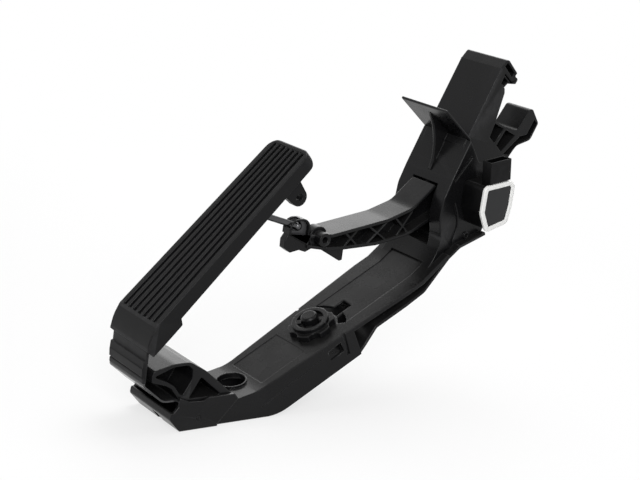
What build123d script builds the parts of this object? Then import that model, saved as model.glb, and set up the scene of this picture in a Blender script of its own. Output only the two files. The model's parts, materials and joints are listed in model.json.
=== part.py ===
from build123d import *
import math
import os

os.makedirs("parts", exist_ok=True)

# Floor hinged accelerator pedal module, in millimetres.
# +X is the driver's right, +Y is forward and +Z is up.
# The origin lies on the heel's base plane, in the middle of its flat.

# Clearances
slide_gap = 0.3
slot_gap = 1.1
shaft_gap = 0.05
press_gap = 0.02
ball_gap = 0.12

# Depth by which the walls of one moulding run into each other, and a length past anything that a cut crosses
bury = 1.0
beyond = 300.0

# Heel tray
heel_half = 27.0
cheek_wall = 2.8
heel_floor = 3.0
heel_front = -15.0
heel_rear = 15.0
heel_seat = 22.5
heel_wall = 1.8
notch_x = 3.0
notch_width = 7.0
mark_radius = 2.3
mark_depth = 0.5
mark_ring = 0.8
mark_rise = 9.6
cheek_top = 25.2
cheek_rear = 36.0
lip_y = -25.4
lip_z = 15.8
tray_rib = 2.6
tray_rib_x = 14.0
tray_rib_length = 36.0

# Film hinge and heel block
hinge_y = -46.0
hinge_z = 36.0
film_thickness = 1.4
film_half = 25.0
film_top = 41.0
film_drop = 2.2
film_set = 1.9
film_root_y = -18.0
film_root_z = 24.0
block_web = 4.0

# Tread
tread_slope = 46.4
tread_set = 2.5
tread_rise = 52.7
tread_length = 174.5
tread_half_low = 27.6
tread_half_high = 24.8
tread_corner = 10.5
tread_plate = 4.2
tread_wall = 2.4
tread_rib = 1.8
tread_rib_depth = 7.0
tread_rib_x = 12.0
tread_rib_spots = [24.0, 54.0, 84.0, 140.0]
curl_radius = 34.0
skirt_low = 17.4
skirt_mid = 12.6
skirt_high = 11.2
foot_front = -50.8
foot_half = 24.5
foot_wall = 2.6
groove_count = 7
groove_pitch_low = 7.0
groove_pitch_high = 5.9
groove_width = 3.4
groove_depth = 2.4
groove_low = -1.5
groove_high = 170.0
ear_along = 146.0
ear_depth = 23.5
ear_x = 17.5
ear_wall = 8.0
ear_radius = 7.2
ear_hole = 2.8

# Push rod and its two balls
rod_length = 51.58
rod_slope = 16.33
rod_swing = 43.1
rod_radius = 2.6
ball_radius = 3.6
socket_y = 93.0
socket_z = 148.6
cup_wall = 2.2
cup_tab = 4.0
sway = 2.1

# Beam
beam_wall = 2.9
beam_low_z = 18.5
beam_low_slope = 12.2
beam_bend_y = 58.5
beam_slope = 29.6
beam_knee_y = 204.0
beam_high_slope = 41.5
beam_top_end = 228.5
beam_rise_y = 77.7
beam_under_slope = 32.3
beam_end_y = 152.0
beam_end_wall = 7.5
beam_wide_half = 36.5
beam_wide_y = 190.0
beam_straight_y = 66.0
beam_rib = 2.2
beam_rib_x = 15.0
panel_half = 20.0
panel_drop = 0.5
crease_low_y = 62.0
crease_low_z = 9.2
crease_high_y = 112.0
crease_high_z = 44.2
crease_width = 0.9
crease_depth = 0.5
heel_hole_y = 48.8
heel_hole_radius = 11.2
heel_hole_rim = 1.5
heel_hole_rise = 2.0
flange_wall = 2.6
channel_web = 3.0
channel_rib = 2.0
channel_rib_inset = 8.0
channel_rib_spots = [168.0, 190.0, 210.0]

# Housing, column and rear lug
pivot_y = 254.0
pivot_z = 180.0
drum_half = 29.7
drum_wall = 2.8
ramp_low_y = 211.0
ramp_high_y = 222.5
ramp_high_z = 142.0
slot_y = 225.0
slot_depth = 13.0
slot_top = 184.0
slot_low = 132.4
lens_groove = 2.0
lens_groove_depth = 1.6
side_boss_y = 250.6
side_boss_z = 142.4
side_boss_radius = 3.1
side_boss_bore = 1.4
side_boss_rise = 1.5
neck_half = 24.7
column_y = 241.0
column_z = 231.0
column_slope = 66.5
column_wall = 2.6
column_length = 58.0
hook_web = 2.4
fin_wall = 2.2
fin_reach = 38.0
fin_half = 28.4
fin_low = -8.0
fin_high = 3.4
gusset_wall = 3.0
lug_left = -4.0
lug_pocket_depth = 12.0

# Lever
lever_half = 14.2
lever_web = 4.0
lever_flange = 2.8
lever_rib = 2.0
lever_low_inset = 1.5
brace_inset = 2.2
tab_x = 6.0
tab_wall = 2.4
hub_radius = 11.0
hub_half = 13.5
shaft_radius = 4.0
bush_radius = 7.0
bush_flange = 9.0
bush_flange_wall = 2.5
clip_set = 1.4
clip_wall = 1.1
clip_gap = 0.05
clip_groove = 0.7
clip_rim = 2.6
clip_mouth = 4.0
end_box_left = -5.5
end_box_right = 4.5
end_box_wall = 1.6
socket_block_right = 1.2
lever_boss_y = 112.5
lever_boss_z = 139.8
lever_boss_radius = 5.6
lever_boss_half = 13.5
lever_disc_radius = 8.8
lever_cross_hole = 2.6

# Return springs
spring_set = 15.0
spring_seat_rise = 10.0
seat_wall = 2.0
cap_wall = 2.0
spring_ceiling = 221.0
outer_coil_radius = 7.4
outer_wire = 1.0
inner_coil_radius = 4.4
inner_wire = 0.8
spring_turns = 4.5
coil_sides = 10
seat_rim = 0.4
seat_peg = 4.0
chamber_gap = 1.7
chamber_swing = 3.2
chamber_corner = 3.0
tail_wall = 6.0

# Sensor
sensor_tilt = 10.2
sensor_drop = 2.0
sensor_depth = 23.3
sensor_wall = 4.0
sensor_back = 2.5
rim_width = 4.0
rim_wall = 3.0
rim_overhang = 1.2
cover_wall = 2.4
rotor_radius = 6.0
rotor_wall = 5.0
rotor_gap = 1.0
board_wall = 1.6
board_gap = 0.4
post_radius = 1.8
plug_left = -8.3
plug_right = 14.5
plug_low = 17.0
plug_high = 35.5
plug_wall = 1.4
plug_depth = 10.5
plug_foot = 12.0
plug_floor = 2.5
pin_count = 6
pin_pitch = 2.9
pin_wall = 1.0
pin_low = 6.0
pin_high = 27.0
screw_radius = 1.5
screw_head = 2.6
screw_length = 12.0
screw_boss = 3.3
screw_head_wall = 2.0
screw_tip_gap = 1.5

# Floor fastener
knob_y = 123.7
knob_base_radius = 19.5
knob_base_wall = 5.0
knob_ring_radius = 15.5
knob_ring_bore = 11.4
knob_ring_top = 8.6
knob_leg_radius = 9.8
knob_leg_length = 15.0
knob_key = 5.0
knob_slit = 2.4
scallop_count = 6
scallop_radius = 6.0
scallop_set = 3.0
arrow_gap = 2.0
arrow_wall = 7.0
arrow_stem = 11.0
arrow_stem_length = 14.0
knob_pin_radius = 7.0
knob_pin_top = 13.0
knob_pin_low = -9.0
knob_pin_chamfer = 1.5


def at_side(x):
    return Plane.YZ.offset(x)


def band(path, thickness):
    # Outline of a strip: the path, then the path shifted to its left by the thickness
    far = []
    last = len(path) - 1
    for i in range(last + 1):
        y0, z0 = path[max(i - 1, 0)]
        y1, z1 = path[i]
        y2, z2 = path[min(i + 1, last)]
        before = math.atan2(z1 - z0, y1 - y0) if i > 0 else math.atan2(z2 - z1, y2 - y1)
        after = math.atan2(z2 - z1, y2 - y1) if i < last else before
        turn = (before + after) / 2
        reach = thickness / math.cos((after - before) / 2)
        far.append((y1 - reach * math.sin(turn), z1 + reach * math.cos(turn)))
    return list(path) + far[::-1]


def slope_line(y, y0, z0, angle):
    return z0 + (y - y0) * math.tan(math.radians(angle))


# Places that follow from the sizes
tread_sin = math.sin(math.radians(tread_slope))
tread_cos = math.cos(math.radians(tread_slope))
tread_y = hinge_y + tread_set
tread_z = hinge_z + tread_rise
tread_edge = Plane(origin=(0, tread_y, tread_z), x_dir=(0, tread_cos, tread_sin), z_dir=(1, 0, 0))
tread_face = Plane(origin=(0, tread_y, tread_z), x_dir=(1, 0, 0), z_dir=(0, -tread_sin, tread_cos))
foot_back = foot_front + foot_wall + 0.8
film_front = foot_front + film_set
ball_y = socket_y - rod_length * math.cos(math.radians(rod_slope))
ball_z = socket_z + rod_length * math.sin(math.radians(rod_slope))
ball_along = (ball_y - tread_y) * tread_cos + (ball_z - tread_z) * tread_sin
ball_depth = (ball_y - tread_y) * tread_sin - (ball_z - tread_z) * tread_cos
cup_half = ball_radius + 0.5
cup_front = ball_radius + sway + 0.4 + cup_wall
cup_back = cup_front + 2.0

beam_start_y = cheek_rear - 3.0
beam_sin = math.sin(math.radians(beam_slope))
beam_cos = math.cos(math.radians(beam_slope))
beam_bend_z = slope_line(beam_bend_y, beam_start_y, beam_low_z, beam_low_slope)
beam_knee_z = slope_line(beam_knee_y, beam_bend_y, beam_bend_z, beam_slope)
beam_top_end_z = slope_line(beam_top_end, beam_knee_y, beam_knee_z, beam_high_slope)
ramp_low_z = slope_line(ramp_low_y, beam_knee_y, beam_knee_z, beam_high_slope) - 0.4
hollow_start = heel_rear + heel_wall
hollow_start_z = slope_line(hollow_start, beam_bend_y, beam_bend_z - beam_wall, beam_low_slope)
beam_end_z = slope_line(beam_end_y, beam_rise_y, 0.0, beam_under_slope)
beam_drop = (beam_bend_z + (beam_end_y - beam_bend_y) * beam_sin / beam_cos - beam_end_z) * beam_cos
beam_corner_y = beam_end_y - beam_drop * beam_sin
beam_corner_z = beam_end_z + beam_drop * beam_cos
cross_rib_spots = [cheek_rear - 4.0, beam_straight_y + 4.0, knob_y - 24.0]
low_cos = math.cos(math.radians(beam_low_slope))
low_sin = math.sin(math.radians(beam_low_slope))
heel_hole_z = slope_line(heel_hole_y, beam_start_y, beam_low_z, beam_low_slope)
heel_hole_plane = Plane(origin=(0, heel_hole_y, heel_hole_z), x_dir=(1, 0, 0), z_dir=(0, -low_sin, low_cos))
knob_z = slope_line(knob_y, beam_bend_y, beam_bend_z, beam_slope)
knob_plane = Plane(origin=(0, knob_y, knob_z), x_dir=(1, 0, 0), z_dir=(0, -beam_sin, beam_cos))

column_sin = math.sin(math.radians(column_slope))
column_cos = math.cos(math.radians(column_slope))
column_edge = Plane(origin=(0, column_y, column_z), x_dir=(0, column_sin, -column_cos), z_dir=(1, 0, 0))

spring_y = pivot_y + spring_set
seat_z = pivot_z + spring_seat_rise
seat_radius = outer_coil_radius + outer_wire + seat_rim
chamber_width = 2 * (seat_radius + chamber_gap)
chamber_length = 2 * (seat_radius + chamber_swing)
peg_radius = inner_coil_radius - inner_wire - slide_gap
sensor_sin = math.sin(math.radians(sensor_tilt))
sensor_cos = math.cos(math.radians(sensor_tilt))
sensor_z = pivot_z - sensor_drop
sensor_front = drum_half + sensor_depth
post_spots = [(-8.5, 6.5), (0.0, -15.0)]
screw_spots = [(-6.0, -13.0), (7.0, -12.0), (11.5, 7.5)]
plug_middle = (plug_left + plug_right) / 2
pin_spots = [(i - (pin_count - 1) / 2) * pin_pitch + plug_middle for i in range(pin_count)]
plug_front = sensor_front + rim_wall
plug_rear = plug_front - plug_depth
plug_mid = (plug_front + plug_rear) / 2


def sensor_plane(x):
    return Plane(origin=(x, pivot_y, sensor_z), x_dir=(0, sensor_cos, sensor_sin), z_dir=(1, 0, 0))


def plate_top(y):
    # Height of the beam's top plate
    if y > beam_knee_y:
        return slope_line(y, beam_knee_y, beam_knee_z, beam_high_slope)
    return slope_line(y, beam_bend_y, beam_bend_z, beam_slope)


def beam_plan(inset):
    # Right half of the beam's outline from above, drawn in by the inset, then its left half
    half = [
        (heel_half - inset, -beyond),
        (heel_half - inset, beam_straight_y),
        (beam_wide_half - inset, beam_wide_y),
        (beam_wide_half - inset, beyond),
    ]
    return half + [(-x, y) for x, y in half[::-1]]


# Beam as a solid wedge with its top plate and stepped rear flange,
# then the hollow that leaves its walls and ribs
flange_path = [
    (beam_end_y - 1.2, beam_end_z),
    (155.5, 54.6),
    (163.4, 68.6),
    (208.3, 96.3),
    (230.0, 123.9),
    (240.8, 133.1),
    (268.0, 143.5),
]
with BuildPart() as beam_block:
    with BuildSketch(at_side(0)):
        with BuildLine():
            FilletPolyline(
                (heel_rear - bury, 0.0),
                (beam_rise_y, 0.0),
                (beam_end_y, beam_end_z),
                (beam_corner_y, beam_corner_z),
                (beam_bend_y, beam_bend_z),
                (heel_rear - bury, slope_line(heel_rear - bury, beam_start_y, beam_low_z, beam_low_slope)),
                radius=[0, 40, 0.8, 0, 60, 0],
                close=True,
            )
        make_face()
    extrude(amount=beyond, both=True)
    with BuildSketch(at_side(0)):
        with BuildLine():
            Polyline(
                *band(
                    [
                        (beam_top_end, beam_top_end_z),
                        (beam_knee_y, beam_knee_z),
                        (beam_corner_y - 8.0, plate_top(beam_corner_y - 8.0)),
                    ],
                    beam_wall,
                ),
                close=True,
            )
        make_face()
    extrude(amount=beyond, both=True)
    with BuildSketch(at_side(0)):
        with BuildLine():
            FilletPolyline(
                *band(flange_path, flange_wall),
                radius=[0, 5, 5, 12, 8, 8, 0, 0, 8, 8, 12, 5, 5, 0],
                close=True,
            )
        make_face()
    extrude(amount=beyond, both=True)
    with BuildSketch(Plane.XY):
        with BuildLine():
            Polyline(*beam_plan(0.0), close=True)
        make_face()
    extrude(amount=beyond, both=True, mode=Mode.INTERSECT)

with BuildPart() as beam_hollow:
    with BuildSketch(at_side(0)):
        with BuildLine():
            Polyline(
                (hollow_start, -10.0),
                (beam_end_y - beam_end_wall / beam_cos, -10.0),
                (beam_end_y - beam_end_wall * beam_cos, beam_end_z - beam_end_wall * beam_sin),
                (
                    beam_corner_y - beam_end_wall * beam_cos + beam_wall * beam_sin,
                    beam_corner_z - beam_end_wall * beam_sin - beam_wall * beam_cos,
                ),
                (beam_bend_y, beam_bend_z - beam_wall / beam_cos),
                (hollow_start, hollow_start_z),
                close=True,
            )
        make_face()
    extrude(amount=beyond, both=True)
    with BuildSketch(Plane.XY):
        with BuildLine():
            Polyline(*beam_plan(beam_wall), close=True)
        make_face()
    extrude(amount=beyond, both=True, mode=Mode.INTERSECT)
    with BuildSketch(Plane.XY):
        with Locations(*[(0, rib_y) for rib_y in cross_rib_spots]):
            Rectangle(2 * beam_wide_half, beam_rib)
        with Locations((beam_rib_x, beam_end_y / 2), (-beam_rib_x, beam_end_y / 2)):
            Rectangle(beam_rib, beam_end_y)
    extrude(amount=beyond, both=True, mode=Mode.SUBTRACT)

# Creases along the beam's sides
with BuildPart() as side_creases:
    with BuildSketch(at_side(0)):
        with BuildLine():
            Line((crease_low_y, crease_low_z), (crease_high_y, crease_high_z))
        trace(line_width=crease_width)
    extrude(amount=beyond, both=True)
    with BuildSketch(Plane.XY):
        with BuildLine():
            Polyline(*beam_plan(crease_depth), close=True)
        make_face()
    extrude(amount=beyond, both=True, mode=Mode.SUBTRACT)

# Side outlines of the bracket's upper end
drum_front = [
    (column_y - 2.1, column_z - 7.0),
    (224.8, 190.5),
    (219.0, 174.5),
    (217.8, 158.0),
    (222.3, 142.0),
    (230.6, 130.4),
]
drum_floor = [(268.0, 143.5), (286.5, 199.0), (252.0, 206.0)]
lug_outline = [
    (266.0, 240.5),
    (279.6, 235.0),
    (295.4, 231.3),
    (306.6, 249.6),
    (310.6, 250.3),
    (320.4, 238.0),
    (313.8, 223.2),
    (298.1, 218.2),
    (288.0, 204.0),
    (262.0, 204.0),
]

with BuildPart() as pedal_bracket:
    add(beam_block.part)
    add(beam_hollow.part, mode=Mode.SUBTRACT)
    add(side_creases.part, mode=Mode.SUBTRACT)
    # heel tray: floor, raised front lip, two cheeks and the ribs that carry the heel block
    with BuildSketch(Plane.XY):
        with Locations((0, (heel_front + heel_rear + 4.0) / 2)):
            Rectangle(2 * (heel_half + cheek_wall), heel_rear + 4.0 - heel_front)
    extrude(amount=heel_floor)
    with BuildSketch(at_side(0)):
        with BuildLine():
            FilletPolyline(
                (heel_front - 0.5, 0.0),
                (lip_y, lip_z - 5.4),
                (lip_y + 0.6, lip_z),
                (lip_y + 3.6, lip_z - 0.4),
                (lip_y + 3.0, lip_z - 4.2),
                (heel_front + 1.4, heel_floor),
                (heel_front + 3.0, 0.0),
                radius=[0, 3.0, 1.2, 0, 1.0, 0, 0],
                close=True,
            )
        make_face()
    extrude(amount=heel_half + cheek_wall, both=True)
    with BuildSketch(Plane.XY):
        with Locations((notch_x, (lip_y + heel_front) / 2 - 2.0)):
            Rectangle(notch_width, heel_front - lip_y + 4.0)
    extrude(amount=lip_z / 2 - 1.4, mode=Mode.SUBTRACT)
    with BuildSketch(at_side(heel_half), at_side(-heel_half - cheek_wall)):
        with BuildLine():
            FilletPolyline(
                (lip_y + 1.2, lip_z - 4.2),
                (heel_front, 0.0),
                (heel_rear, 0.0),
                (heel_rear + 4.0, 2.0),
                (cheek_rear, cheek_top - 4.4),
                (cheek_rear - 4.0, cheek_top),
                (7.6, cheek_top),
                (4.0, cheek_top - 2.4),
                (-9.0, cheek_top - 1.7),
                (-18.4, cheek_top + 2.2),
                (-18.4, cheek_top - 4.4),
                (lip_y + 1.2, lip_z - 1.8),
                radius=[0, 0, 0, 1.5, 1.2, 1.2, 0, 0, 3, 0, 1.5, 0],
                close=True,
            )
        make_face()
    extrude(amount=cheek_wall)
    with BuildSketch(at_side(heel_half + cheek_wall - mark_depth), at_side(-heel_half - cheek_wall)):
        with Locations((0.0, mark_rise)):
            Circle(mark_radius)
            Circle(mark_radius - mark_ring, mode=Mode.SUBTRACT)
    extrude(amount=mark_depth, mode=Mode.SUBTRACT)
    with BuildSketch(Plane.XY.offset(heel_floor - bury)):
        with Locations((tray_rib_x, 7.0), (-tray_rib_x, 7.0)):
            Rectangle(tray_rib, tray_rib_length)
    extrude(amount=heel_seat - heel_floor + bury)
    # web and cross ribs of the open channel
    with BuildSketch(at_side(0)):
        with BuildLine():
            Polyline(
                (beam_corner_y - 1.0, beam_corner_z - 2.0),
                (beam_knee_y, beam_knee_z - 1.5),
                (beam_top_end, beam_top_end_z - 1.5),
                (240.0, 133.5),
                (229.5, 124.8),
                (207.6, 97.2),
                (162.4, 69.2),
                (154.5, 55.5),
                (beam_end_y - 2.0, beam_end_z + 0.8),
                close=True,
            )
        make_face()
    extrude(amount=channel_web / 2, both=True)
    for rib_y in channel_rib_spots:
        with BuildSketch(at_side(0)):
            with BuildLine():
                Polyline(
                    (rib_y, plate_top(rib_y) - bury),
                    (rib_y + channel_rib, plate_top(rib_y) - bury),
                    (rib_y + channel_rib + 6.0, slope_line(rib_y + 8.0, 208.3, 97.0, 31.7)),
                    (rib_y + 6.0, slope_line(rib_y + 6.0, 208.3, 97.0, 31.7)),
                    close=True,
                )
            make_face()
        extrude(amount=beam_wide_half - channel_rib_inset, both=True)
    # drum housing round the lever's hub
    with BuildSketch(at_side(0)):
        with BuildLine():
            FilletPolyline(*drum_front, *drum_floor, radius=[0, 14, 18, 24, 20, 0, 6, 1, 4], close=True)
        make_face()
    extrude(amount=drum_half, both=True)
    with BuildSketch(at_side(0)):
        with BuildLine():
            ThreePointArc((ramp_low_y, ramp_low_z), (219.6, 126.0), (ramp_high_y, ramp_high_z))
            Polyline((ramp_high_y, ramp_high_z), (231.5, 131.0), (ramp_low_y, ramp_low_z))
        make_face()
    extrude(amount=drum_half, both=True)
    # neck, column side walls and centre rib
    with BuildSketch(at_side(0)):
        with BuildLine():
            Polyline(
                (231.5, 206.0),
                (column_y, column_z),
                (266.0, 231.5),
                (291.0, 214.0),
                (286.0, 198.0),
                (250.0, 200.0),
                close=True,
            )
        make_face()
    extrude(amount=neck_half, both=True)
    with BuildSketch(column_edge):
        with BuildLine():
            FilletPolyline(
                (0.0, -14.0),
                (0.0, column_length),
                (3.0, column_length),
                (8.0, column_length - 11.0),
                (13.5, column_length - 12.0),
                (16.5, column_length - 14.5),
                (19.2, column_length - 26.5),
                (24.0, 10.0),
                (22.0, -14.0),
                radius=[0, 0, 0, 2, 2, 4, 4, 4, 0],
                close=True,
            )
        make_face()
    extrude(amount=neck_half, both=True)
    with BuildSketch(column_edge):
        with BuildLine():
            Polyline(
                (column_wall, 6.0),
                (column_wall, column_length + 1.0),
                (60.0, column_length + 1.0),
                (60.0, 6.0),
                close=True,
            )
        make_face()
    extrude(amount=neck_half - column_wall, both=True, mode=Mode.SUBTRACT)
    with BuildSketch(column_edge):
        with BuildLine():
            Polyline((1.0, 5.0), (1.0, 52.0), (4.0, 52.0), (16.0, 40.0), (20.0, 5.0), close=True)
        make_face()
    extrude(amount=gusset_wall / 2, both=True)
    # hook at the head of the column
    with BuildSketch(column_edge):
        with BuildLine():
            FilletPolyline(
                (0.0, column_length - 12.0),
                (0.0, column_length),
                (2.4, column_length + 8.8),
                (5.0, column_length + 9.6),
                (20.0, column_length + 4.8),
                (19.2, column_length + 1.4),
                (24.0, column_length + 1.2),
                (23.6, column_length - 3.8),
                (19.4, column_length - 5.6),
                (14.2, column_length - 7.6),
                (12.6, column_length - 12.0),
                radius=[0, 2, 2, 1.2, 0, 1, 2, 0, 0, 0, 0],
                close=True,
            )
        make_face()
    extrude(amount=neck_half, both=True)
    with BuildSketch(column_edge.offset(hook_web / 2), column_edge.offset(-neck_half)):
        with BuildLine():
            Polyline(
                (4.4, column_length + 7.2),
                (17.0, column_length + 3.4),
                (16.0, column_length - 0.6),
                (3.4, column_length + 3.4),
                close=True,
            )
        make_face()
        with BuildLine():
            Polyline(
                (7.2, column_length - 1.6),
                (18.4, column_length - 4.4),
                (17.6, column_length - 5.4),
                (7.0, column_length - 2.8),
                close=True,
            )
        make_face()
        with BuildLine():
            Polyline(
                (7.4, column_length - 4.2),
                (14.6, column_length - 6.0),
                (12.8, column_length - 7.4),
                (11.2, column_length - 10.6),
                (7.4, column_length - 10.6),
                close=True,
            )
        make_face()
    extrude(amount=neck_half - hook_web / 2, mode=Mode.SUBTRACT)
    # fin across the column's foot and the curved gusset under it
    with BuildSketch(column_edge):
        with BuildLine():
            Polyline(
                (column_wall - bury, fin_low),
                (column_wall - bury, fin_low + fin_wall),
                (-fin_reach, fin_high),
                (-fin_reach, fin_high - fin_wall),
                close=True,
            )
        make_face()
    extrude(amount=fin_half, both=True)
    with BuildSketch(column_edge):
        with BuildLine():
            Polyline((2.0, -6.0), (-fin_reach + 5.0, 1.0))
            ThreePointArc((-fin_reach + 5.0, 1.0), (-13.0, -14.5), (0.5, -42.0))
            Line((0.5, -42.0), (2.0, -6.0))
        make_face()
    extrude(amount=gusset_wall / 2, both=True)
    # rear lug
    with BuildSketch(at_side(lug_left)):
        with BuildLine():
            FilletPolyline(*lug_outline, radius=[0, 8, 4, 3, 3, 3, 6, 8, 0, 0], close=True)
        make_face()
    extrude(amount=neck_half - lug_left)
    with BuildSketch(at_side(neck_half)):
        with BuildLine():
            Polyline((268.4, 237.6), (279.6, 232.8), (271.7, 220.7), (264.9, 226.0), close=True)
        make_face()
        with BuildLine():
            Polyline((282.7, 231.6), (294.4, 227.3), (280.7, 213.3), (273.9, 218.7), close=True)
        make_face()
        with BuildLine():
            FilletPolyline(
                (315.2, 241.2),
                (308.7, 227.6),
                (300.0, 226.0),
                (283.8, 211.2),
                (290.4, 210.4),
                (299.4, 219.6),
                (312.6, 224.4),
                (318.9, 237.2),
                radius=[0, 2, 4, 0, 0, 6, 4, 0],
                close=True,
            )
        make_face()
    extrude(amount=-lug_pocket_depth, mode=Mode.SUBTRACT)
    # hollow for the lever's hub, the spring chamber and the lever's slot
    with BuildSketch(at_side(0)):
        with BuildLine():
            FilletPolyline(
                (229.0, 200.0),
                (222.0, 174.0),
                (220.6, 158.0),
                (225.0, 143.0),
                (232.0, 134.0),
                (266.0, 145.8),
                (283.2, 197.5),
                (260.0, 203.0),
                radius=[0, 18, 24, 20, 0, 4, 1, 4],
                close=True,
            )
        make_face()
    extrude(amount=drum_half - drum_wall, both=True, mode=Mode.SUBTRACT)
    with BuildSketch(Plane.XY.offset(seat_z)):
        with Locations((0, spring_y)):
            RectangleRounded(chamber_width, chamber_length, chamber_corner)
    extrude(amount=spring_ceiling - seat_z, mode=Mode.SUBTRACT)
    with BuildSketch(Plane.XZ.offset(-slot_y)):
        with Locations((0, (slot_top + slot_low) / 2)):
            Rectangle(2 * (lever_half + slot_gap), slot_top - slot_low)
    extrude(amount=slot_depth, both=True, mode=Mode.SUBTRACT)
    # bores for the bushes and the sensor's screws
    with BuildSketch(at_side(0)):
        with Locations((pivot_y, pivot_z)):
            Circle(bush_radius + press_gap)
    extrude(amount=drum_half + 1.0, both=True, mode=Mode.SUBTRACT)
    with BuildSketch(sensor_plane(drum_half)):
        with Locations(*screw_spots):
            Circle(screw_boss)
    extrude(amount=-screw_length)
    with BuildSketch(sensor_plane(drum_half)):
        with Locations(*screw_spots):
            Circle(screw_radius + press_gap)
    extrude(amount=-screw_length - bury, mode=Mode.SUBTRACT)
    with BuildSketch(at_side(drum_half)):
        with Locations((side_boss_y, side_boss_z)):
            Circle(side_boss_radius)
    extrude(amount=side_boss_rise)
    with BuildSketch(at_side(drum_half + side_boss_rise)):
        with Locations((side_boss_y, side_boss_z)):
            Circle(side_boss_bore)
    extrude(amount=-drum_wall - side_boss_rise, mode=Mode.SUBTRACT)
    # grooves that set off the lens shaped face in front of the sensor and the wall above it
    with BuildSketch(at_side(drum_half)):
        with BuildLine():
            FilletPolyline(
                (236.2, 133.5),
                (235.6, 139.0),
                (238.8, 150.5),
                (236.4, 160.7),
                (231.5, 170.0),
                radius=[6, 12, 12],
            )
        trace(line_width=lens_groove)
        with BuildLine():
            Line((227.8, 190.2), (242.8, 209.6))
        trace(line_width=lens_groove)
    extrude(amount=-lens_groove_depth, mode=Mode.SUBTRACT)
    # rimmed hole behind the heel
    with BuildSketch(heel_hole_plane):
        Circle(heel_hole_radius + heel_hole_rim)
    extrude(amount=heel_hole_rise)
    with BuildSketch(heel_hole_plane):
        Circle(heel_hole_radius)
    extrude(amount=8.0, both=True, mode=Mode.SUBTRACT)
    # fastener hole and the arrow shaped slot beside it
    with BuildSketch(knob_plane):
        Circle(knob_leg_radius + slide_gap)
    extrude(amount=8.0, both=True, mode=Mode.SUBTRACT)
    with BuildSketch(knob_plane):
        Circle(knob_base_radius + arrow_gap + arrow_wall)
        Circle(knob_base_radius + arrow_gap, mode=Mode.SUBTRACT)
        with BuildLine():
            Polyline((0, 0), (30.0, 30.0), (-30.0, 30.0), close=True)
        make_face(mode=Mode.INTERSECT)
        with Locations((0, knob_base_radius + arrow_gap + 3.0 + arrow_stem_length / 2)):
            Rectangle(arrow_stem, arrow_stem_length)
    extrude(amount=6.0, both=True, mode=Mode.SUBTRACT)
    # windows near the end of the beam's side walls
    with BuildSketch(at_side(heel_half + 1.0), at_side(-heel_half - 11.0)):
        with BuildLine():
            Polyline((118.6, 50.4), (129.6, 58.2), (133.6, 51.0), (122.6, 43.2), close=True)
        make_face()
    extrude(amount=10.0, mode=Mode.SUBTRACT)
    # groove beside the end wall
    with BuildSketch(at_side(heel_half + 3.7), at_side(-heel_half - 13.7)):
        with BuildLine():
            Polyline((128.9, 66.4), (131.1, 67.4), (140.2, 48.0), (138.0, 47.0), close=True)
        make_face()
    extrude(amount=10.0, mode=Mode.SUBTRACT)
    # shallow panels along the middle of the top plate
    for low_y, high_y in ((beam_straight_y - 3.0, knob_y - 21.0), (knob_y + 17.0, beam_top_end - 6.0)):
        turns = [y for y in (high_y, beam_knee_y, low_y) if low_y <= y <= high_y]
        with BuildSketch(at_side(0)):
            with BuildLine():
                Polyline(*band([(y, plate_top(y) + 1.0) for y in turns], panel_drop + beam_cos), close=True)
            make_face()
        extrude(amount=panel_half, both=True, mode=Mode.SUBTRACT)
pedal_bracket.part.label = "pedal_bracket"
export_step(pedal_bracket.part, "parts/pedal_bracket.step")

with BuildPart() as heel_block:
    with BuildSketch(at_side(0)):
        with BuildLine():
            FilletPolyline(
                (-43.6, 46.6),
                (-42.3, 50.4),
                (-25.0, 54.4),
                (-11.0, 54.6),
                (4.5, 45.9),
                (30.5, 25.0),
                (30.5, heel_seat),
                (film_root_y, heel_seat),
                (film_root_y, film_root_z + 1.6),
                (-25.0, 34.4),
                (-30.5, 37.6),
                (-43.3, 41.6),
                radius=[1.5, 2.0, 20.0, 12.0, 20.0, 0, 0, 0, 0, 5.0, 8.0, 1.5],
                close=True,
            )
        make_face()
    extrude(amount=heel_half - slide_gap, both=True)
    with BuildSketch(at_side(block_web / 2), at_side(-heel_half)):
        with BuildLine():
            FilletPolyline(
                (-41.8, 45.8),
                (-25.0, 51.9),
                (-12.6, 52.2),
                (-8.0, 48.4),
                (-7.6, 41.0),
                (-14.6, 28.2),
                (-17.6, 29.6),
                (-22.8, 36.4),
                (-29.4, 40.4),
                radius=[0.8, 12.0, 3.5, 3.0, 6.0, 0.8, 0, 6.0, 8.0],
                close=True,
            )
        make_face()
        with BuildLine():
            FilletPolyline((0.4, 41.4), (20.8, 24.8), (-8.8, 24.8), radius=[1.5, 1.2, 1.2], close=True)
        make_face()
    extrude(amount=heel_half - block_web / 2, mode=Mode.SUBTRACT)
heel_block.part.label = "heel_block"
export_step(heel_block.part, "parts/heel_block.step")

with BuildPart() as film_hinge:
    with BuildSketch(at_side(0)):
        with BuildLine():
            FilletPolyline(
                (film_front, film_top),
                (film_front, film_top - film_drop),
                (-30.5, film_root_z),
                (film_root_y, film_root_z),
                radius=[2.5, 12.0],
            )
        trace(line_width=film_thickness)
    extrude(amount=film_half, both=True)
film_hinge.part.label = "film_hinge"
export_step(film_hinge.part, "parts/film_hinge.step")

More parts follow.
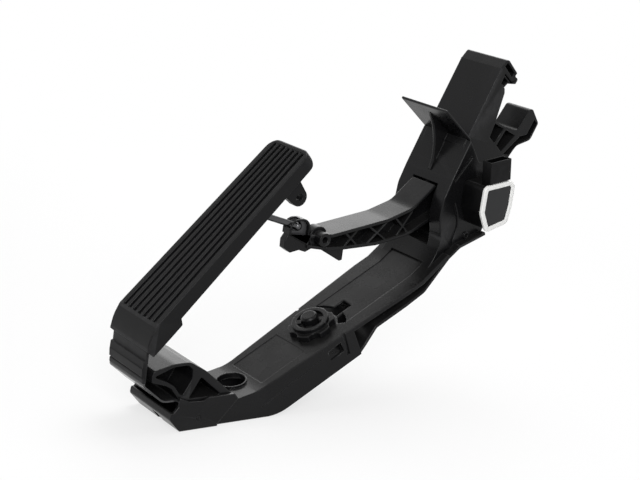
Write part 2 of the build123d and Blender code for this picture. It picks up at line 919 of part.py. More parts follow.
# Hollow under the tread, with its ribs left standing
curl_along = (foot_front - tread_y) / tread_cos
curl_inner = (foot_front + tread_plate - tread_y - tread_plate * tread_sin) / tread_cos
with BuildPart() as tread_hollow:
    with BuildSketch(tread_edge):
        with BuildLine():
            FilletPolyline(
                (tread_length - tread_wall, -tread_plate),
                (curl_inner, -tread_plate),
                (curl_inner - beyond * tread_sin, -tread_plate - beyond * tread_cos),
                (tread_length - tread_wall, -tread_plate - beyond * tread_cos),
                radius=[0, curl_radius - tread_plate, 0, 0],
                close=True,
            )
        make_face()
    extrude(amount=beyond, both=True)
    with BuildSketch(tread_face):
        with BuildLine():
            FilletPolyline(
                (tread_half_low - tread_wall, -beyond),
                (tread_half_low - tread_wall, 0.0),
                (tread_half_high - tread_wall, tread_length - tread_wall),
                (-tread_half_high + tread_wall, tread_length - tread_wall),
                (-tread_half_low + tread_wall, 0.0),
                (-tread_half_low + tread_wall, -beyond),
                radius=[0, 0, tread_corner - tread_wall, tread_corner - tread_wall, 0, 0],
                close=True,
            )
        make_face()
    extrude(amount=beyond, both=True, mode=Mode.INTERSECT)
    with BuildSketch(tread_face):
        with Locations(*[(0, spot) for spot in tread_rib_spots]):
            Rectangle(2 * tread_half_low, tread_rib)
        with Locations((-tread_rib_x, tread_length / 2), (tread_rib_x, tread_length / 2)):
            Rectangle(tread_rib, tread_length)
    extrude(amount=-tread_plate - tread_rib_depth, mode=Mode.SUBTRACT)

with BuildPart() as tread:
    with BuildSketch(tread_edge):
        with BuildLine():
            FilletPolyline(
                (tread_length, 0.0),
                (curl_along, 0.0),
                (curl_along - 14.2 * tread_sin, -14.2 * tread_cos),
                (curl_along - 9.4, -skirt_low),
                (12.0, -skirt_low),
                (14.5, -skirt_mid),
                (tread_length, -skirt_high),
                radius=[2.0, curl_radius, 0.3, 1.5, 1.0, 1.0, 7.0],
                close=True,
            )
        make_face()
    extrude(amount=beyond, both=True)
    with BuildSketch(tread_face):
        with BuildLine():
            FilletPolyline(
                (tread_half_low, -beyond),
                (tread_half_low, 0.0),
                (tread_half_high, tread_length),
                (-tread_half_high, tread_length),
                (-tread_half_low, 0.0),
                (-tread_half_low, -beyond),
                radius=[0, 0, tread_corner, tread_corner, 0, 0],
                close=True,
            )
        make_face()
    extrude(amount=beyond, both=True, mode=Mode.INTERSECT)
    add(tread_hollow.part, mode=Mode.SUBTRACT)
    # stepped foot that stands on the film hinge
    with BuildSketch(at_side(0)):
        with BuildLine():
            FilletPolyline(
                (foot_front + 1.5, 72.0),
                (foot_front + 1.5, 58.8),
                (foot_front - 0.2, 58.2),
                (foot_front - 0.8, 52.0),
                (foot_front - 0.3, 46.2),
                (foot_front + 1.1, 45.4),
                (foot_front + 0.3, 44.6),
                (foot_front + 0.5, film_top),
                (foot_back, film_top),
                (foot_back, 72.0),
                radius=[0, 0.2, 0.6, 6.0, 0.8, 0, 0.4, 0.6, 0.4, 0],
                close=True,
            )
        make_face()
    extrude(amount=foot_half, both=True)
    # grooves that leave the ribs of the face
    with BuildSketch(tread_face):
        for i in range(groove_count):
            low_x = (i - (groove_count - 1) / 2) * groove_pitch_low
            high_x = (i - (groove_count - 1) / 2) * groove_pitch_high
            groove_run = math.hypot(high_x - low_x, groove_high - groove_low)
            groove_turn = math.degrees(math.atan2(groove_high - groove_low, high_x - low_x))
            with Locations(((low_x + high_x) / 2, (groove_low + groove_high) / 2)):
                SlotCenterToCenter(groove_run - groove_width, groove_width, rotation=groove_turn)
    extrude(amount=-groove_depth, mode=Mode.SUBTRACT)
    # cup for the rod's front ball, long enough for the ball's sway along the tread
    with BuildSketch(tread_edge):
        with BuildLine():
            Polyline(
                (ball_along - cup_front, -tread_plate + 0.5),
                (ball_along + cup_back, -tread_plate + 0.5),
                (ball_along + cup_back, -skirt_high),
                (ball_along - cup_front, -skirt_high),
                close=True,
            )
        make_face()
    extrude(amount=cup_half + cup_wall, both=True)
    with BuildSketch(tread_edge):
        for edge in (-cup_front + cup_wall / 2, cup_back - cup_wall / 2):
            with Locations((ball_along + edge, (-skirt_high - ball_depth - cup_tab) / 2)):
                Rectangle(cup_wall, ball_depth + cup_tab - skirt_high + 2.0)
    extrude(amount=cup_half + cup_wall, both=True)
    with BuildSketch(tread_edge):
        with Locations((ball_along + (cup_back - cup_front) / 2, ball_radius + sway - ball_depth)):
            Rectangle(cup_back + cup_front - 2 * cup_wall, 40.0, align=(Align.CENTER, Align.MAX))
    extrude(amount=cup_half, both=True, mode=Mode.SUBTRACT)
    # eared lug under the upper end
    with BuildSketch(tread_edge.offset(ear_x - ear_wall / 2)):
        with BuildLine():
            Polyline(
                (ear_along - ear_radius - 3.0, -tread_plate + 0.5),
                (ear_along + ear_radius + 3.0, -tread_plate + 0.5),
                (ear_along + ear_radius, -ear_depth),
                (ear_along - ear_radius, -ear_depth),
                close=True,
            )
        make_face()
        with Locations((ear_along, -ear_depth)):
            Circle(ear_radius)
            Circle(ear_hole, mode=Mode.SUBTRACT)
    extrude(amount=ear_wall)
tread.part.label = "tread"
export_step(tread.part, "parts/tread.step")

rod_turn = math.radians(rod_slope)
rod_plane = Plane(
    origin=(0, socket_y, socket_z),
    x_dir=(1, 0, 0),
    z_dir=(0, -math.cos(rod_turn), math.sin(rod_turn)),
)
with BuildPart() as push_rod:
    with BuildSketch(rod_plane):
        Circle(rod_radius)
    extrude(amount=rod_length)
    with Locations((0, socket_y, socket_z), (0, ball_y, ball_z)):
        Sphere(ball_radius)
push_rod.part.label = "push_rod"
export_step(push_rod.part, "parts/push_rod.step")

# Fan that the rod sweeps through in the lever's end
fan_half = rod_radius + 0.7
fan_reach = rod_length - 10.0
swing_turn = math.radians(rod_slope + rod_swing)
with BuildPart() as rod_fan:
    with BuildSketch(at_side(0)):
        with BuildLine():
            Polyline(
                (socket_y, socket_z),
                (socket_y - fan_half * math.sin(rod_turn), socket_z - fan_half * math.cos(rod_turn)),
                (
                    socket_y - fan_reach * math.cos(rod_turn) - fan_half * math.sin(rod_turn),
                    socket_z + fan_reach * math.sin(rod_turn) - fan_half * math.cos(rod_turn),
                ),
                (
                    socket_y - fan_reach * math.cos(swing_turn) + fan_half * math.sin(swing_turn),
                    socket_z + fan_reach * math.sin(swing_turn) + fan_half * math.cos(swing_turn),
                ),
                (socket_y + fan_half * math.sin(swing_turn), socket_z + fan_half * math.cos(swing_turn)),
                close=True,
            )
        make_face()
    extrude(amount=fan_half, both=True)

box_front = socket_y - 10.2
box_rear = socket_y + 10.2
box_top = socket_z + 6.9
box_low_front = socket_z - 5.6
box_low_rear = socket_z - 15.6


def end_box(inset):
    # Corners of the lever's arched end box, drawn in by the inset
    return [
        (box_front + inset, box_low_front + 1.2 * inset),
        (box_rear - inset, box_low_rear + 1.2 * inset),
        (box_rear - inset, box_top - inset),
        (box_front + inset, box_top - inset),
    ]


def end_box_radii(inset):
    return [0.6, 0.6, 8.4 - inset, 8.6 - inset]


lever_top = [
    (box_rear - 1.0, 141.8),
    (118.0, 144.4),
    (175.5, 155.0),
    (200.0, 163.6),
    (221.0, 183.0),
]
lever_low = [
    (240.0, 160.0),
    (203.0, 140.0),
    (168.0, 132.6),
    (132.0, 130.6),
    (box_rear - 1.0, 130.8),
]
brace_ends = [(133.0, 148.0), (148.0, 133.0), (158.0, 181.0), (178.0, 156.0), (188.0, 203.0), (204.0, 184.0)]
with BuildPart() as lever_arm:
    # web, its edges buried in the flanges
    with BuildSketch(at_side(0)):
        with BuildLine():
            FilletPolyline(
                *[(y, z - lever_flange / 2) for y, z in lever_top],
                (236.0, 187.0),
                (pivot_y, pivot_z + hub_radius - 1.0),
                (pivot_y, pivot_z - hub_radius + 1.0),
                *[(y, z + lever_flange / 2) for y, z in lever_low],
                radius=[0, 20, 40, 20, 10, 8, 0, 0, 8, 40, 30, 10, 0],
                close=True,
            )
        make_face()
    extrude(amount=lever_web / 2, both=True)
    # top and bottom flanges
    with BuildSketch(at_side(0)):
        with BuildLine():
            FilletPolyline(
                *band(lever_top[::-1], lever_flange),
                radius=[0, 20, 40, 20, 0, 0, 20, 40, 20, 0],
                close=True,
            )
        make_face()
    extrude(amount=lever_half, both=True)
    with BuildSketch(at_side(0)):
        with BuildLine():
            FilletPolyline(
                *band(lever_low[::-1], lever_flange),
                radius=[0, 10, 30, 40, 0, 0, 40, 30, 10, 0],
                close=True,
            )
        make_face()
    extrude(amount=lever_half - lever_low_inset, both=True)
    # cross braces between the flanges
    for low_y, high_y in brace_ends:
        low_end = (low_y, slope_line(low_y, 132.0, 131.2, 6.5))
        high_end = (high_y, slope_line(high_y, 149.0, 148.6, 12.0))
        with BuildSketch(at_side(0)):
            with BuildLine():
                Line(low_end, high_end)
            trace(line_width=lever_rib)
        extrude(amount=lever_half - brace_inset, both=True)
    # flanges narrowed towards the lever's end
    with BuildSketch(Plane.XY):
        for side in (-1, 1):
            with BuildLine():
                Polyline(
                    (side * end_box_right, box_rear - 2.0),
                    (side * end_box_right, box_rear + 1.0),
                    (side * lever_half, box_rear + 16.0),
                    (side * (lever_half + 2.0), box_rear + 16.0),
                    (side * (lever_half + 2.0), box_rear - 2.0),
                    close=True,
                )
            make_face()
    extrude(amount=beyond, mode=Mode.SUBTRACT)
    # hub, tail under the springs
    with BuildSketch(at_side(0)):
        with Locations((pivot_y, pivot_z)):
            Circle(hub_radius)
    extrude(amount=hub_half, both=True)
    with BuildSketch(at_side(0)):
        with BuildLine():
            FilletPolyline(
                (pivot_y, pivot_z - hub_radius + 1.0),
                (spring_y + seat_radius, seat_z - tail_wall),
                (spring_y + seat_radius, seat_z),
                (spring_y - seat_radius, seat_z),
                (pivot_y, pivot_z + 5.0),
                radius=[0, 2, 1, 0, 0],
                close=True,
            )
        make_face()
    extrude(amount=seat_radius, both=True)
    # arched end box, open to the right, with the foot under it
    with BuildSketch(at_side(end_box_left)):
        with BuildLine():
            FilletPolyline(*end_box(0.0), radius=end_box_radii(0.0), close=True)
        make_face()
    extrude(amount=end_box_right - end_box_left)
    with BuildSketch(at_side(end_box_left + end_box_wall)):
        with BuildLine():
            FilletPolyline(
                (box_front - 2.4, box_low_front - 4.6),
                (box_front - 2.0, box_low_front - 11.6),
                (box_front + 4.4, box_low_front - 15.4),
                (box_front + 13.0, box_low_front - 13.6),
                (box_rear - 0.8, box_low_rear - 5.6),
                (lever_boss_y, lever_boss_z - lever_disc_radius + 1.0),
                (lever_boss_y, lever_boss_z),
                (box_rear - 3.0, box_low_rear + 2.6),
                (box_front + 1.0, box_low_front + 0.6),
                radius=[0.6, 0.6, 0.8, 0.8, 0.8, 0, 0, 0, 0],
                close=True,
            )
        make_face()
    extrude(amount=end_box_right - end_box_left - 2 * end_box_wall)
    # boss with a cross hole, its disc and the hanging tab
    with BuildSketch(at_side(0)):
        with Locations((lever_boss_y, lever_boss_z)):
            Circle(lever_disc_radius)
    extrude(amount=end_box_right, both=True)
    with BuildSketch(at_side(0)):
        with Locations((lever_boss_y, lever_boss_z)):
            Circle(lever_boss_radius)
    extrude(amount=lever_boss_half, both=True)
    with BuildSketch(at_side(tab_x)):
        with BuildLine():
            FilletPolyline(
                (111.0, 131.8),
                (134.4, 119.8),
                (137.2, 120.5),
                (137.0, 131.8),
                radius=[0, 1, 1, 0],
                close=True,
            )
        make_face()
    extrude(amount=tab_wall)
    with BuildSketch(at_side(0)):
        with Locations((lever_boss_y, lever_boss_z)):
            Circle(lever_cross_hole)
        with Locations((pivot_y, pivot_z)):
            Circle(shaft_radius + press_gap)
    extrude(amount=beyond, both=True, mode=Mode.SUBTRACT)
    with BuildSketch(at_side(end_box_left + end_box_wall)):
        with BuildLine():
            FilletPolyline(*end_box(end_box_wall), radius=end_box_radii(end_box_wall), close=True)
        make_face()
    extrude(amount=beyond, mode=Mode.SUBTRACT)
    add(rod_fan.part, mode=Mode.SUBTRACT)
lever_arm.part.label = "lever_arm"
export_step(lever_arm.part, "parts/lever_arm.step")

socket_inset = end_box_wall + press_gap
with BuildPart() as ball_socket:
    with BuildSketch(at_side(end_box_left + end_box_wall)):
        with BuildLine():
            FilletPolyline(*end_box(socket_inset), radius=end_box_radii(socket_inset), close=True)
        make_face()
    extrude(amount=socket_block_right - end_box_left - end_box_wall)
    with Locations((0, socket_y, socket_z)):
        Sphere(ball_radius + ball_gap, mode=Mode.SUBTRACT)
    add(rod_fan.part, mode=Mode.SUBTRACT)
ball_socket.part.label = "ball_socket"
export_step(ball_socket.part, "parts/ball_socket.step")

shaft_left = -drum_half - 4.0
shaft_right = drum_half + sensor_back + 1.0
with BuildPart() as pivot_shaft:
    with BuildSketch(at_side(shaft_left)):
        with Locations((pivot_y, pivot_z)):
            Circle(shaft_radius)
    extrude(amount=shaft_right - shaft_left)
    with BuildSketch(at_side(shaft_left + clip_set)):
        with Locations((pivot_y, pivot_z)):
            Circle(shaft_radius + bury)
            Circle(shaft_radius - clip_groove, mode=Mode.SUBTRACT)
    extrude(amount=clip_wall + 2 * clip_gap, mode=Mode.SUBTRACT)
pivot_shaft.part.label = "pivot_shaft"
export_step(pivot_shaft.part, "parts/pivot_shaft.step")

with BuildPart() as shaft_clip:
    with BuildSketch(at_side(shaft_left + clip_set + clip_gap)):
        with Locations((pivot_y, pivot_z)):
            Circle(shaft_radius + clip_rim)
            Circle(shaft_radius - clip_groove + press_gap, mode=Mode.SUBTRACT)
        with Locations((pivot_y, pivot_z - shaft_radius - clip_rim)):
            Rectangle(clip_mouth, 2 * (shaft_radius + clip_rim), mode=Mode.SUBTRACT)
    extrude(amount=clip_wall)
shaft_clip.part.label = "shaft_clip"
export_step(shaft_clip.part, "parts/shaft_clip.step")

with BuildPart() as right_bush:
    with BuildSketch(at_side(hub_half + slide_gap)):
        with Locations((pivot_y, pivot_z)):
            Circle(bush_radius)
    extrude(amount=drum_half - hub_half - slide_gap)
    with BuildSketch(at_side(drum_half - drum_wall)):
        with Locations((pivot_y, pivot_z)):
            Circle(bush_flange)
    extrude(amount=-bush_flange_wall)
    with BuildSketch(at_side(0)):
        with Locations((pivot_y, pivot_z)):
            Circle(shaft_radius + shaft_gap)
    extrude(amount=beyond, mode=Mode.SUBTRACT)
right_bush.part.label = "right_bush"
export_step(right_bush.part, "parts/right_bush.step")

with BuildPart() as left_bush:
    add(mirror(right_bush.part, about=Plane.YZ, mode=Mode.PRIVATE))
left_bush.part.label = "left_bush"
export_step(left_bush.part, "parts/left_bush.step")

with BuildPart() as rotor_magnet:
    with BuildSketch(at_side(shaft_right)):
        with Locations((pivot_y, pivot_z)):
            Circle(rotor_radius)
    extrude(amount=rotor_wall)
rotor_magnet.part.label = "rotor_magnet"
export_step(rotor_magnet.part, "parts/rotor_magnet.step")

with BuildPart() as spring_seat:
    with BuildSketch(Plane.XY.offset(seat_z)):
        with Locations((0, spring_y)):
            Circle(seat_radius)
    extrude(amount=seat_wall)
    with BuildSketch(Plane.XY.offset(seat_z + seat_wall)):
        with Locations((0, spring_y)):
            Circle(peg_radius)
    extrude(amount=seat_peg)
spring_seat.part.label = "spring_seat"
export_step(spring_seat.part, "parts/spring_seat.step")

with BuildPart() as spring_cap:
    with BuildSketch(Plane.XY.offset(spring_ceiling)):
        with Locations((0, spring_y)):
            Circle(seat_radius)
    extrude(amount=-cap_wall)
    with BuildSketch(Plane.XY.offset(spring_ceiling - cap_wall)):
        with Locations((0, spring_y)):
            Circle(peg_radius)
    extrude(amount=-seat_peg)
spring_cap.part.label = "spring_cap"
export_step(spring_cap.part, "parts/spring_cap.step")


def coil(radius, wire):
    # Corners of a faceted coil between the seat and the cap
    low = seat_z + seat_wall + wire
    high = spring_ceiling - cap_wall - wire
    steps = round(spring_turns * coil_sides)
    turns = [2 * math.pi * i / coil_sides for i in range(steps + 1)]
    return [
        (radius * math.cos(turn), spring_y + radius * math.sin(turn), low + (high - low) * turn / turns[-1])
        for turn in turns
    ]


with BuildPart() as outer_spring:
    with BuildLine() as outer_path:
        Polyline(*coil(outer_coil_radius, outer_wire))
    with BuildSketch(Plane(origin=outer_path.line @ 0, z_dir=outer_path.line % 0)):
        RegularPolygon(outer_wire, 6)
    sweep(transition=Transition.RIGHT)
outer_spring.part.label = "outer_spring"
export_step(outer_spring.part, "parts/outer_spring.step")

with BuildPart() as inner_spring:
    with BuildLine() as inner_path:
        Polyline(*coil(inner_coil_radius, inner_wire))
    with BuildSketch(Plane(origin=inner_path.line @ 0, z_dir=inner_path.line % 0)):
        RegularPolygon(inner_wire, 6)
    sweep(transition=Transition.RIGHT)
inner_spring.part.label = "inner_spring"
export_step(inner_spring.part, "parts/inner_spring.step")

rim_outline = [
    (-13.7, 16.1),
    (16.8, 15.8),
    (20.2, 10.3),
    (17.4, -7.3),
    (12.9, -21.2),
    (-11.4, -24.3),
    (-17.6, -6.7),
]
rim_radii = [5.5, 5.0, 4.6, 8.0, 5.0, 5.0, 8.0]
with BuildPart() as sensor_housing:
    with BuildSketch(sensor_plane(drum_half)):
        with BuildLine():
            FilletPolyline(*rim_outline, radius=rim_radii, close=True)
        make_face()
        offset(amount=-rim_overhang, mode=Mode.REPLACE)
    extrude(amount=sensor_depth)
    with BuildSketch(sensor_plane(drum_half + sensor_back)):
        with BuildLine():
            FilletPolyline(*rim_outline, radius=rim_radii, close=True)
        make_face()
        offset(amount=-rim_overhang - sensor_wall, mode=Mode.REPLACE)
    extrude(amount=sensor_depth, mode=Mode.SUBTRACT)
    with BuildSketch(at_side(drum_half)):
        with Locations((pivot_y, pivot_z)):
            Circle(rotor_radius + rotor_gap)
    extrude(amount=sensor_back, mode=Mode.SUBTRACT)
    with BuildSketch(sensor_plane(drum_half)):
        with Locations(*screw_spots):
            Circle(screw_radius + press_gap)
    extrude(amount=sensor_back, mode=Mode.SUBTRACT)
    # posts that carry the circuit board
    with BuildSketch(sensor_plane(drum_half + sensor_back)):
        with Locations(*post_spots):
            Circle(post_radius)
    extrude(amount=plug_mid - pin_wall / 2 - board_wall - drum_half - sensor_back)
    # plug socket on top, open upward along the tilted side
    with BuildSketch(sensor_plane(plug_rear)):
        with Locations((plug_middle, (plug_low + plug_foot) / 2)):
            Rectangle(plug_right - plug_left, plug_low - plug_foot)
    extrude(amount=sensor_front - plug_rear)
    with BuildSketch(sensor_plane(plug_rear)):
        with Locations((plug_middle, (plug_low + plug_high) / 2)):
            Rectangle(plug_right - plug_left, plug_high - plug_low)
    extrude(amount=plug_depth)
    with BuildSketch(sensor_plane(plug_rear + plug_wall)):
        with Locations((plug_middle, (plug_low + plug_floor + plug_high + bury) / 2)):
            Rectangle(plug_right - plug_left - 2 * plug_wall, plug_high + bury - plug_low - plug_floor)
    extrude(amount=plug_depth - 2 * plug_wall, mode=Mode.SUBTRACT)
    with BuildSketch(sensor_plane(plug_mid - pin_wall / 2 - press_gap)):
        with Locations(*[(spot, (pin_low + plug_low + plug_floor + bury) / 2) for spot in pin_spots]):
            Rectangle(pin_wall + 2 * press_gap, plug_low + plug_floor + bury - pin_low)
    extrude(amount=pin_wall + 2 * press_gap, mode=Mode.SUBTRACT)
sensor_housing.part.label = "sensor_housing"
export_step(sensor_housing.part, "parts/sensor_housing.step")

with BuildPart() as sensor_gasket:
    with BuildSketch(sensor_plane(sensor_front)):
        with BuildLine():
            FilletPolyline(*rim_outline, radius=rim_radii, close=True)
        make_face()
    extrude(amount=rim_wall)
    with BuildSketch(sensor_plane(sensor_front)):
        with BuildLine():
            FilletPolyline(*rim_outline, radius=rim_radii, close=True)
        make_face()
        offset(amount=-rim_width, mode=Mode.REPLACE)
    extrude(amount=rim_wall, mode=Mode.SUBTRACT)
sensor_gasket.part.label = "sensor_gasket"
export_step(sensor_gasket.part, "parts/sensor_gasket.step")

with BuildPart() as sensor_cover:
    with BuildSketch(sensor_plane(sensor_front)):
        with BuildLine():
            FilletPolyline(*rim_outline, radius=rim_radii, close=True)
        make_face()
        offset(amount=-rim_width - press_gap, mode=Mode.REPLACE)
    extrude(amount=cover_wall)
sensor_cover.part.label = "sensor_cover"
export_step(sensor_cover.part, "parts/sensor_cover.step")

board_face = plug_mid - pin_wall / 2
with BuildPart() as circuit_board:
    with BuildSketch(sensor_plane(board_face)):
        with BuildLine():
            FilletPolyline(*rim_outline, radius=rim_radii, close=True)
        make_face()
        offset(amount=-rim_overhang - sensor_wall - board_gap, mode=Mode.REPLACE)
    extrude(amount=-board_wall)
circuit_board.part.label = "circuit_board"
export_step(circuit_board.part, "parts/circuit_board.step")

with BuildPart() as connector_pins:
    with BuildSketch(sensor_plane(board_face)):
        with Locations(*[(spot, (pin_low + pin_high) / 2) for spot in pin_spots]):
            Rectangle(pin_wall, pin_high - pin_low)
    extrude(amount=pin_wall)
connector_pins.part.label = "connector_pins"
export_step(connector_pins.part, "parts/connector_pins.step")

with BuildPart() as sensor_screws:
    with BuildSketch(sensor_plane(drum_half + sensor_back)):
        with Locations(*screw_spots):
            Circle(screw_head)
    extrude(amount=screw_head_wall)
    with BuildSketch(sensor_plane(drum_half + sensor_back)):
        with Locations(*screw_spots):
            Circle(screw_radius)
    extrude(amount=-sensor_back - screw_length + screw_tip_gap)
sensor_screws.part.label = "sensor_screws"
export_step(sensor_screws.part, "parts/sensor_screws.step")

with BuildPart() as fastener_body:
    with BuildSketch(knob_plane):
        Circle(knob_base_radius)
        with PolarLocations(knob_base_radius + scallop_set, scallop_count, start_angle=30.0):
            Circle(scallop_radius, mode=Mode.SUBTRACT)
    extrude(amount=knob_base_wall)
    with BuildSketch(knob_plane):
        Circle(knob_ring_radius)
    extrude(amount=knob_ring_top)
    with BuildSketch(knob_plane.offset(knob_base_wall)):
        Circle(knob_ring_bore)
    extrude(amount=knob_ring_top, mode=Mode.SUBTRACT)
    with BuildSketch(knob_plane.offset(knob_base_wall)):
        with PolarLocations((knob_pin_radius + knob_ring_bore) / 2 + 0.5, 4, start_angle=45.0):
            Rectangle(knob_ring_bore - knob_pin_radius, knob_key)
    extrude(amount=knob_ring_top - knob_base_wall - 1.0)
    with BuildSketch(knob_plane):
        Circle(knob_leg_radius)
    extrude(amount=-knob_leg_length)
    with BuildSketch(knob_plane.offset(-knob_leg_length)):
        Circle(knob_pin_radius + shaft_gap)
    extrude(amount=knob_leg_length + knob_ring_top, mode=Mode.SUBTRACT)
    with BuildSketch(knob_plane.offset(-knob_leg_length)):
        Rectangle(knob_slit, beyond)
        Rectangle(beyond, knob_slit)
    extrude(amount=knob_leg_length - beam_wall - 2.0, mode=Mode.SUBTRACT)
fastener_body.part.label = "fastener_body"
export_step(fastener_body.part, "parts/fastener_body.step")

with BuildPart() as fastener_pin:
    with BuildSketch(knob_plane.offset(knob_pin_low)):
        Circle(knob_pin_radius)
    extrude(amount=knob_pin_top - knob_pin_low)
    pin_top = fastener_pin.faces().sort_by(Axis(origin=(0, 0, 0), direction=knob_plane.z_dir))[-1]
    chamfer(pin_top.edges(), knob_pin_chamfer)
fastener_pin.part.label = "fastener_pin"
export_step(fastener_pin.part, "parts/fastener_pin.step")
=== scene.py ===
import bpy
import bmesh
import json
import math
from mathutils import Matrix, Vector
from mathutils.bvhtree import BVHTree
from mathutils.kdtree import KDTree
from mathutils.geometry import intersect_point_line


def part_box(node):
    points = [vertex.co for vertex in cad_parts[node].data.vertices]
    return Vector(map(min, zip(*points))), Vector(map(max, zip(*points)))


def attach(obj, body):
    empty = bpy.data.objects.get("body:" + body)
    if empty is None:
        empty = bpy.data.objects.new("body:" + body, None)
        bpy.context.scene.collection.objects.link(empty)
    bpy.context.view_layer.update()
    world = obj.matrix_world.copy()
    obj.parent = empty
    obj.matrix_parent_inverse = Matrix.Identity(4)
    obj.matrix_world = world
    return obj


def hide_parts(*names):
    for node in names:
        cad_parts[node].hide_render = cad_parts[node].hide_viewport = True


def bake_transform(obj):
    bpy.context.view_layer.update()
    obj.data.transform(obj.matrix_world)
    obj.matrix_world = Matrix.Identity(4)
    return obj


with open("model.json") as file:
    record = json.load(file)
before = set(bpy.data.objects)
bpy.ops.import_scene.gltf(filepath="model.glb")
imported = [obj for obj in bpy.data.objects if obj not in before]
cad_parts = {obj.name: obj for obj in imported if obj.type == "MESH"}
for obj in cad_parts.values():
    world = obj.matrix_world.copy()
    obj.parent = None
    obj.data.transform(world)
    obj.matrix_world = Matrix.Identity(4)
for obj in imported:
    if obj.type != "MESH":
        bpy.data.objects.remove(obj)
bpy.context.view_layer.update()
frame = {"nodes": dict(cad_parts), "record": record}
mm = 0.001
scene = bpy.context.scene
print("frame loaded:", len(frame["nodes"]), "nodes")


# view, floor and light
cameraLook = {
    "place": (0.8546, -0.5932, 0.4263),
    "right": (0.60460, 0.78394, 0.14105),
    "up": (-0.28545, 0.04793, 0.95720),
    "back": (0.74363, -0.61898, 0.25276),
    "lens": 80.44,
    "sensor": 36.0,
}


def makeCamera(look):
    data = bpy.data.cameras.new("photoCamera")
    data.lens = look["lens"]
    data.sensor_width = look["sensor"]
    data.clip_start = 0.01
    camera = bpy.data.objects.new("photoCamera", data)
    scene.collection.objects.link(camera)
    columns = [look["right"], look["up"], look["back"], look["place"]]
    rows = [[column[i] for column in columns] for i in range(3)]
    camera.matrix_world = Matrix(rows + [[0, 0, 0, 1]])
    scene.camera = camera


def addNode(tree, kind, values=None, links=None):
    # one node, with its values by socket or property name and its links by socket name
    node = tree.nodes.new(kind)
    for key, value in (values or {}).items():
        if isinstance(key, int) or key in node.inputs:
            node.inputs[key].default_value = value
        else:
            setattr(node, key, value)
    for key, source in (links or {}).items():
        tree.links.new(source, node.inputs[key])
    return node


def plainSight(tree):
    # 1 for rays that look at a thing straight, through glass or in a mirror
    path = addNode(tree, "ShaderNodeLightPath")
    total = path.outputs["Is Camera Ray"]
    for ray in ("Is Transmission Ray", "Is Glossy Ray"):
        links = {0: total, 1: path.outputs[ray]}
        total = addNode(tree, "ShaderNodeMath", {"operation": "MAXIMUM"}, links).outputs[0]
    return total


floorLook = {
    "size": 6.0,
    "drop": 0.0004,         # a hair under the object, so that the two faces don't fight
    "colour": (0.86, 0.86, 0.86, 1.0),
    "lift": 0.70,           # share of plain white near the object, where the shadow falls
    "near": 0.35,           # the floor turns to plain white between these two distances
    "far": 1.10,
    "bounce": 0.45,         # how pale the floor is to the light that it throws back
}


def makeFloor(look):
    half = look["size"] / 2
    mesh = bpy.data.meshes.new("floor")
    corners = [(-half, -half, 0), (half, -half, 0), (half, half, 0), (-half, half, 0)]
    mesh.from_pydata(corners, [], [(0, 1, 2, 3)])
    floor = bpy.data.objects.new("floor", mesh)
    scene.collection.objects.link(floor)
    floor.location.z = -look["drop"]
    material = bpy.data.materials.new("paleFloor")
    material.use_nodes = True
    tree = material.node_tree
    tree.nodes.clear()
    out = addNode(tree, "ShaderNodeOutputMaterial")
    litShade = addNode(tree, "ShaderNodeBsdfDiffuse", {"Color": look["colour"]})
    darkShade = addNode(tree, "ShaderNodeBsdfDiffuse", {"Color": [look["bounce"]] * 3 + [1.0]})
    white = addNode(tree, "ShaderNodeEmission", {"Color": (1, 1, 1, 1), "Strength": 1.0})
    coord = addNode(tree, "ShaderNodeTexCoord")
    away = addNode(tree, "ShaderNodeVectorMath", {"operation": "LENGTH"}, {0: coord.outputs["Object"]})
    fading = {
        "interpolation_type": "SMOOTHSTEP", "From Min": look["near"], "From Max": look["far"],
        "To Min": look["lift"],
    }
    fade = addNode(tree, "ShaderNodeMapRange", fading, {"Value": away.outputs["Value"]})
    mixed = addNode(tree, "ShaderNodeMixShader", links={"Fac": fade.outputs[0]})
    tree.links.new(litShade.outputs[0], mixed.inputs[1])
    tree.links.new(white.outputs[0], mixed.inputs[2])
    pick = addNode(tree, "ShaderNodeMixShader", links={"Fac": plainSight(tree)})
    tree.links.new(darkShade.outputs[0], pick.inputs[1])
    tree.links.new(mixed.outputs[0], pick.inputs[2])
    tree.links.new(pick.outputs[0], out.inputs["Surface"])
    mesh.materials.append(material)


worldLook = {
    "sky": 0.42,            # strength of the soft light from above
    "low": 0.08,            # and from the sides
}


def makeWorld(look):
    world = bpy.data.worlds.new("studio")
    scene.world = world
    world.use_nodes = True
    tree = world.node_tree
    tree.nodes.clear()
    out = addNode(tree, "ShaderNodeOutputWorld")
    coord = addNode(tree, "ShaderNodeTexCoord")
    split = addNode(tree, "ShaderNodeSeparateXYZ", links={"Vector": coord.outputs["Generated"]})
    rising = {"From Min": -0.1, "From Max": 0.8, "To Min": look["low"], "To Max": look["sky"]}
    rise = addNode(tree, "ShaderNodeMapRange", rising, {"Value": split.outputs["Z"]})
    soft = addNode(tree, "ShaderNodeBackground", {"Color": (1, 1, 1, 1)}, {"Strength": rise.outputs[0]})
    white = addNode(tree, "ShaderNodeBackground", {"Color": (1, 1, 1, 1), "Strength": 1.0})
    pick = addNode(tree, "ShaderNodeMixShader", links={"Fac": plainSight(tree)})
    tree.links.new(soft.outputs[0], pick.inputs[1])
    tree.links.new(white.outputs[0], pick.inputs[2])
    tree.links.new(pick.outputs[0], out.inputs["Surface"])


lampLooks = {
    "overhead": {"place": (-0.25, 0.55, 1.25), "aim": (0.0, 0.12, 0.12), "size": 1.1, "power": 10.0},
    "leftBack": {"place": (-1.05, 0.70, 0.60), "aim": (0.0, 0.10, 0.12), "size": 0.9, "power": 3.8},
    "rightFill": {"place": (1.10, -0.70, 0.75), "aim": (0.0, 0.15, 0.12), "size": 0.9, "power": 17.0},
}


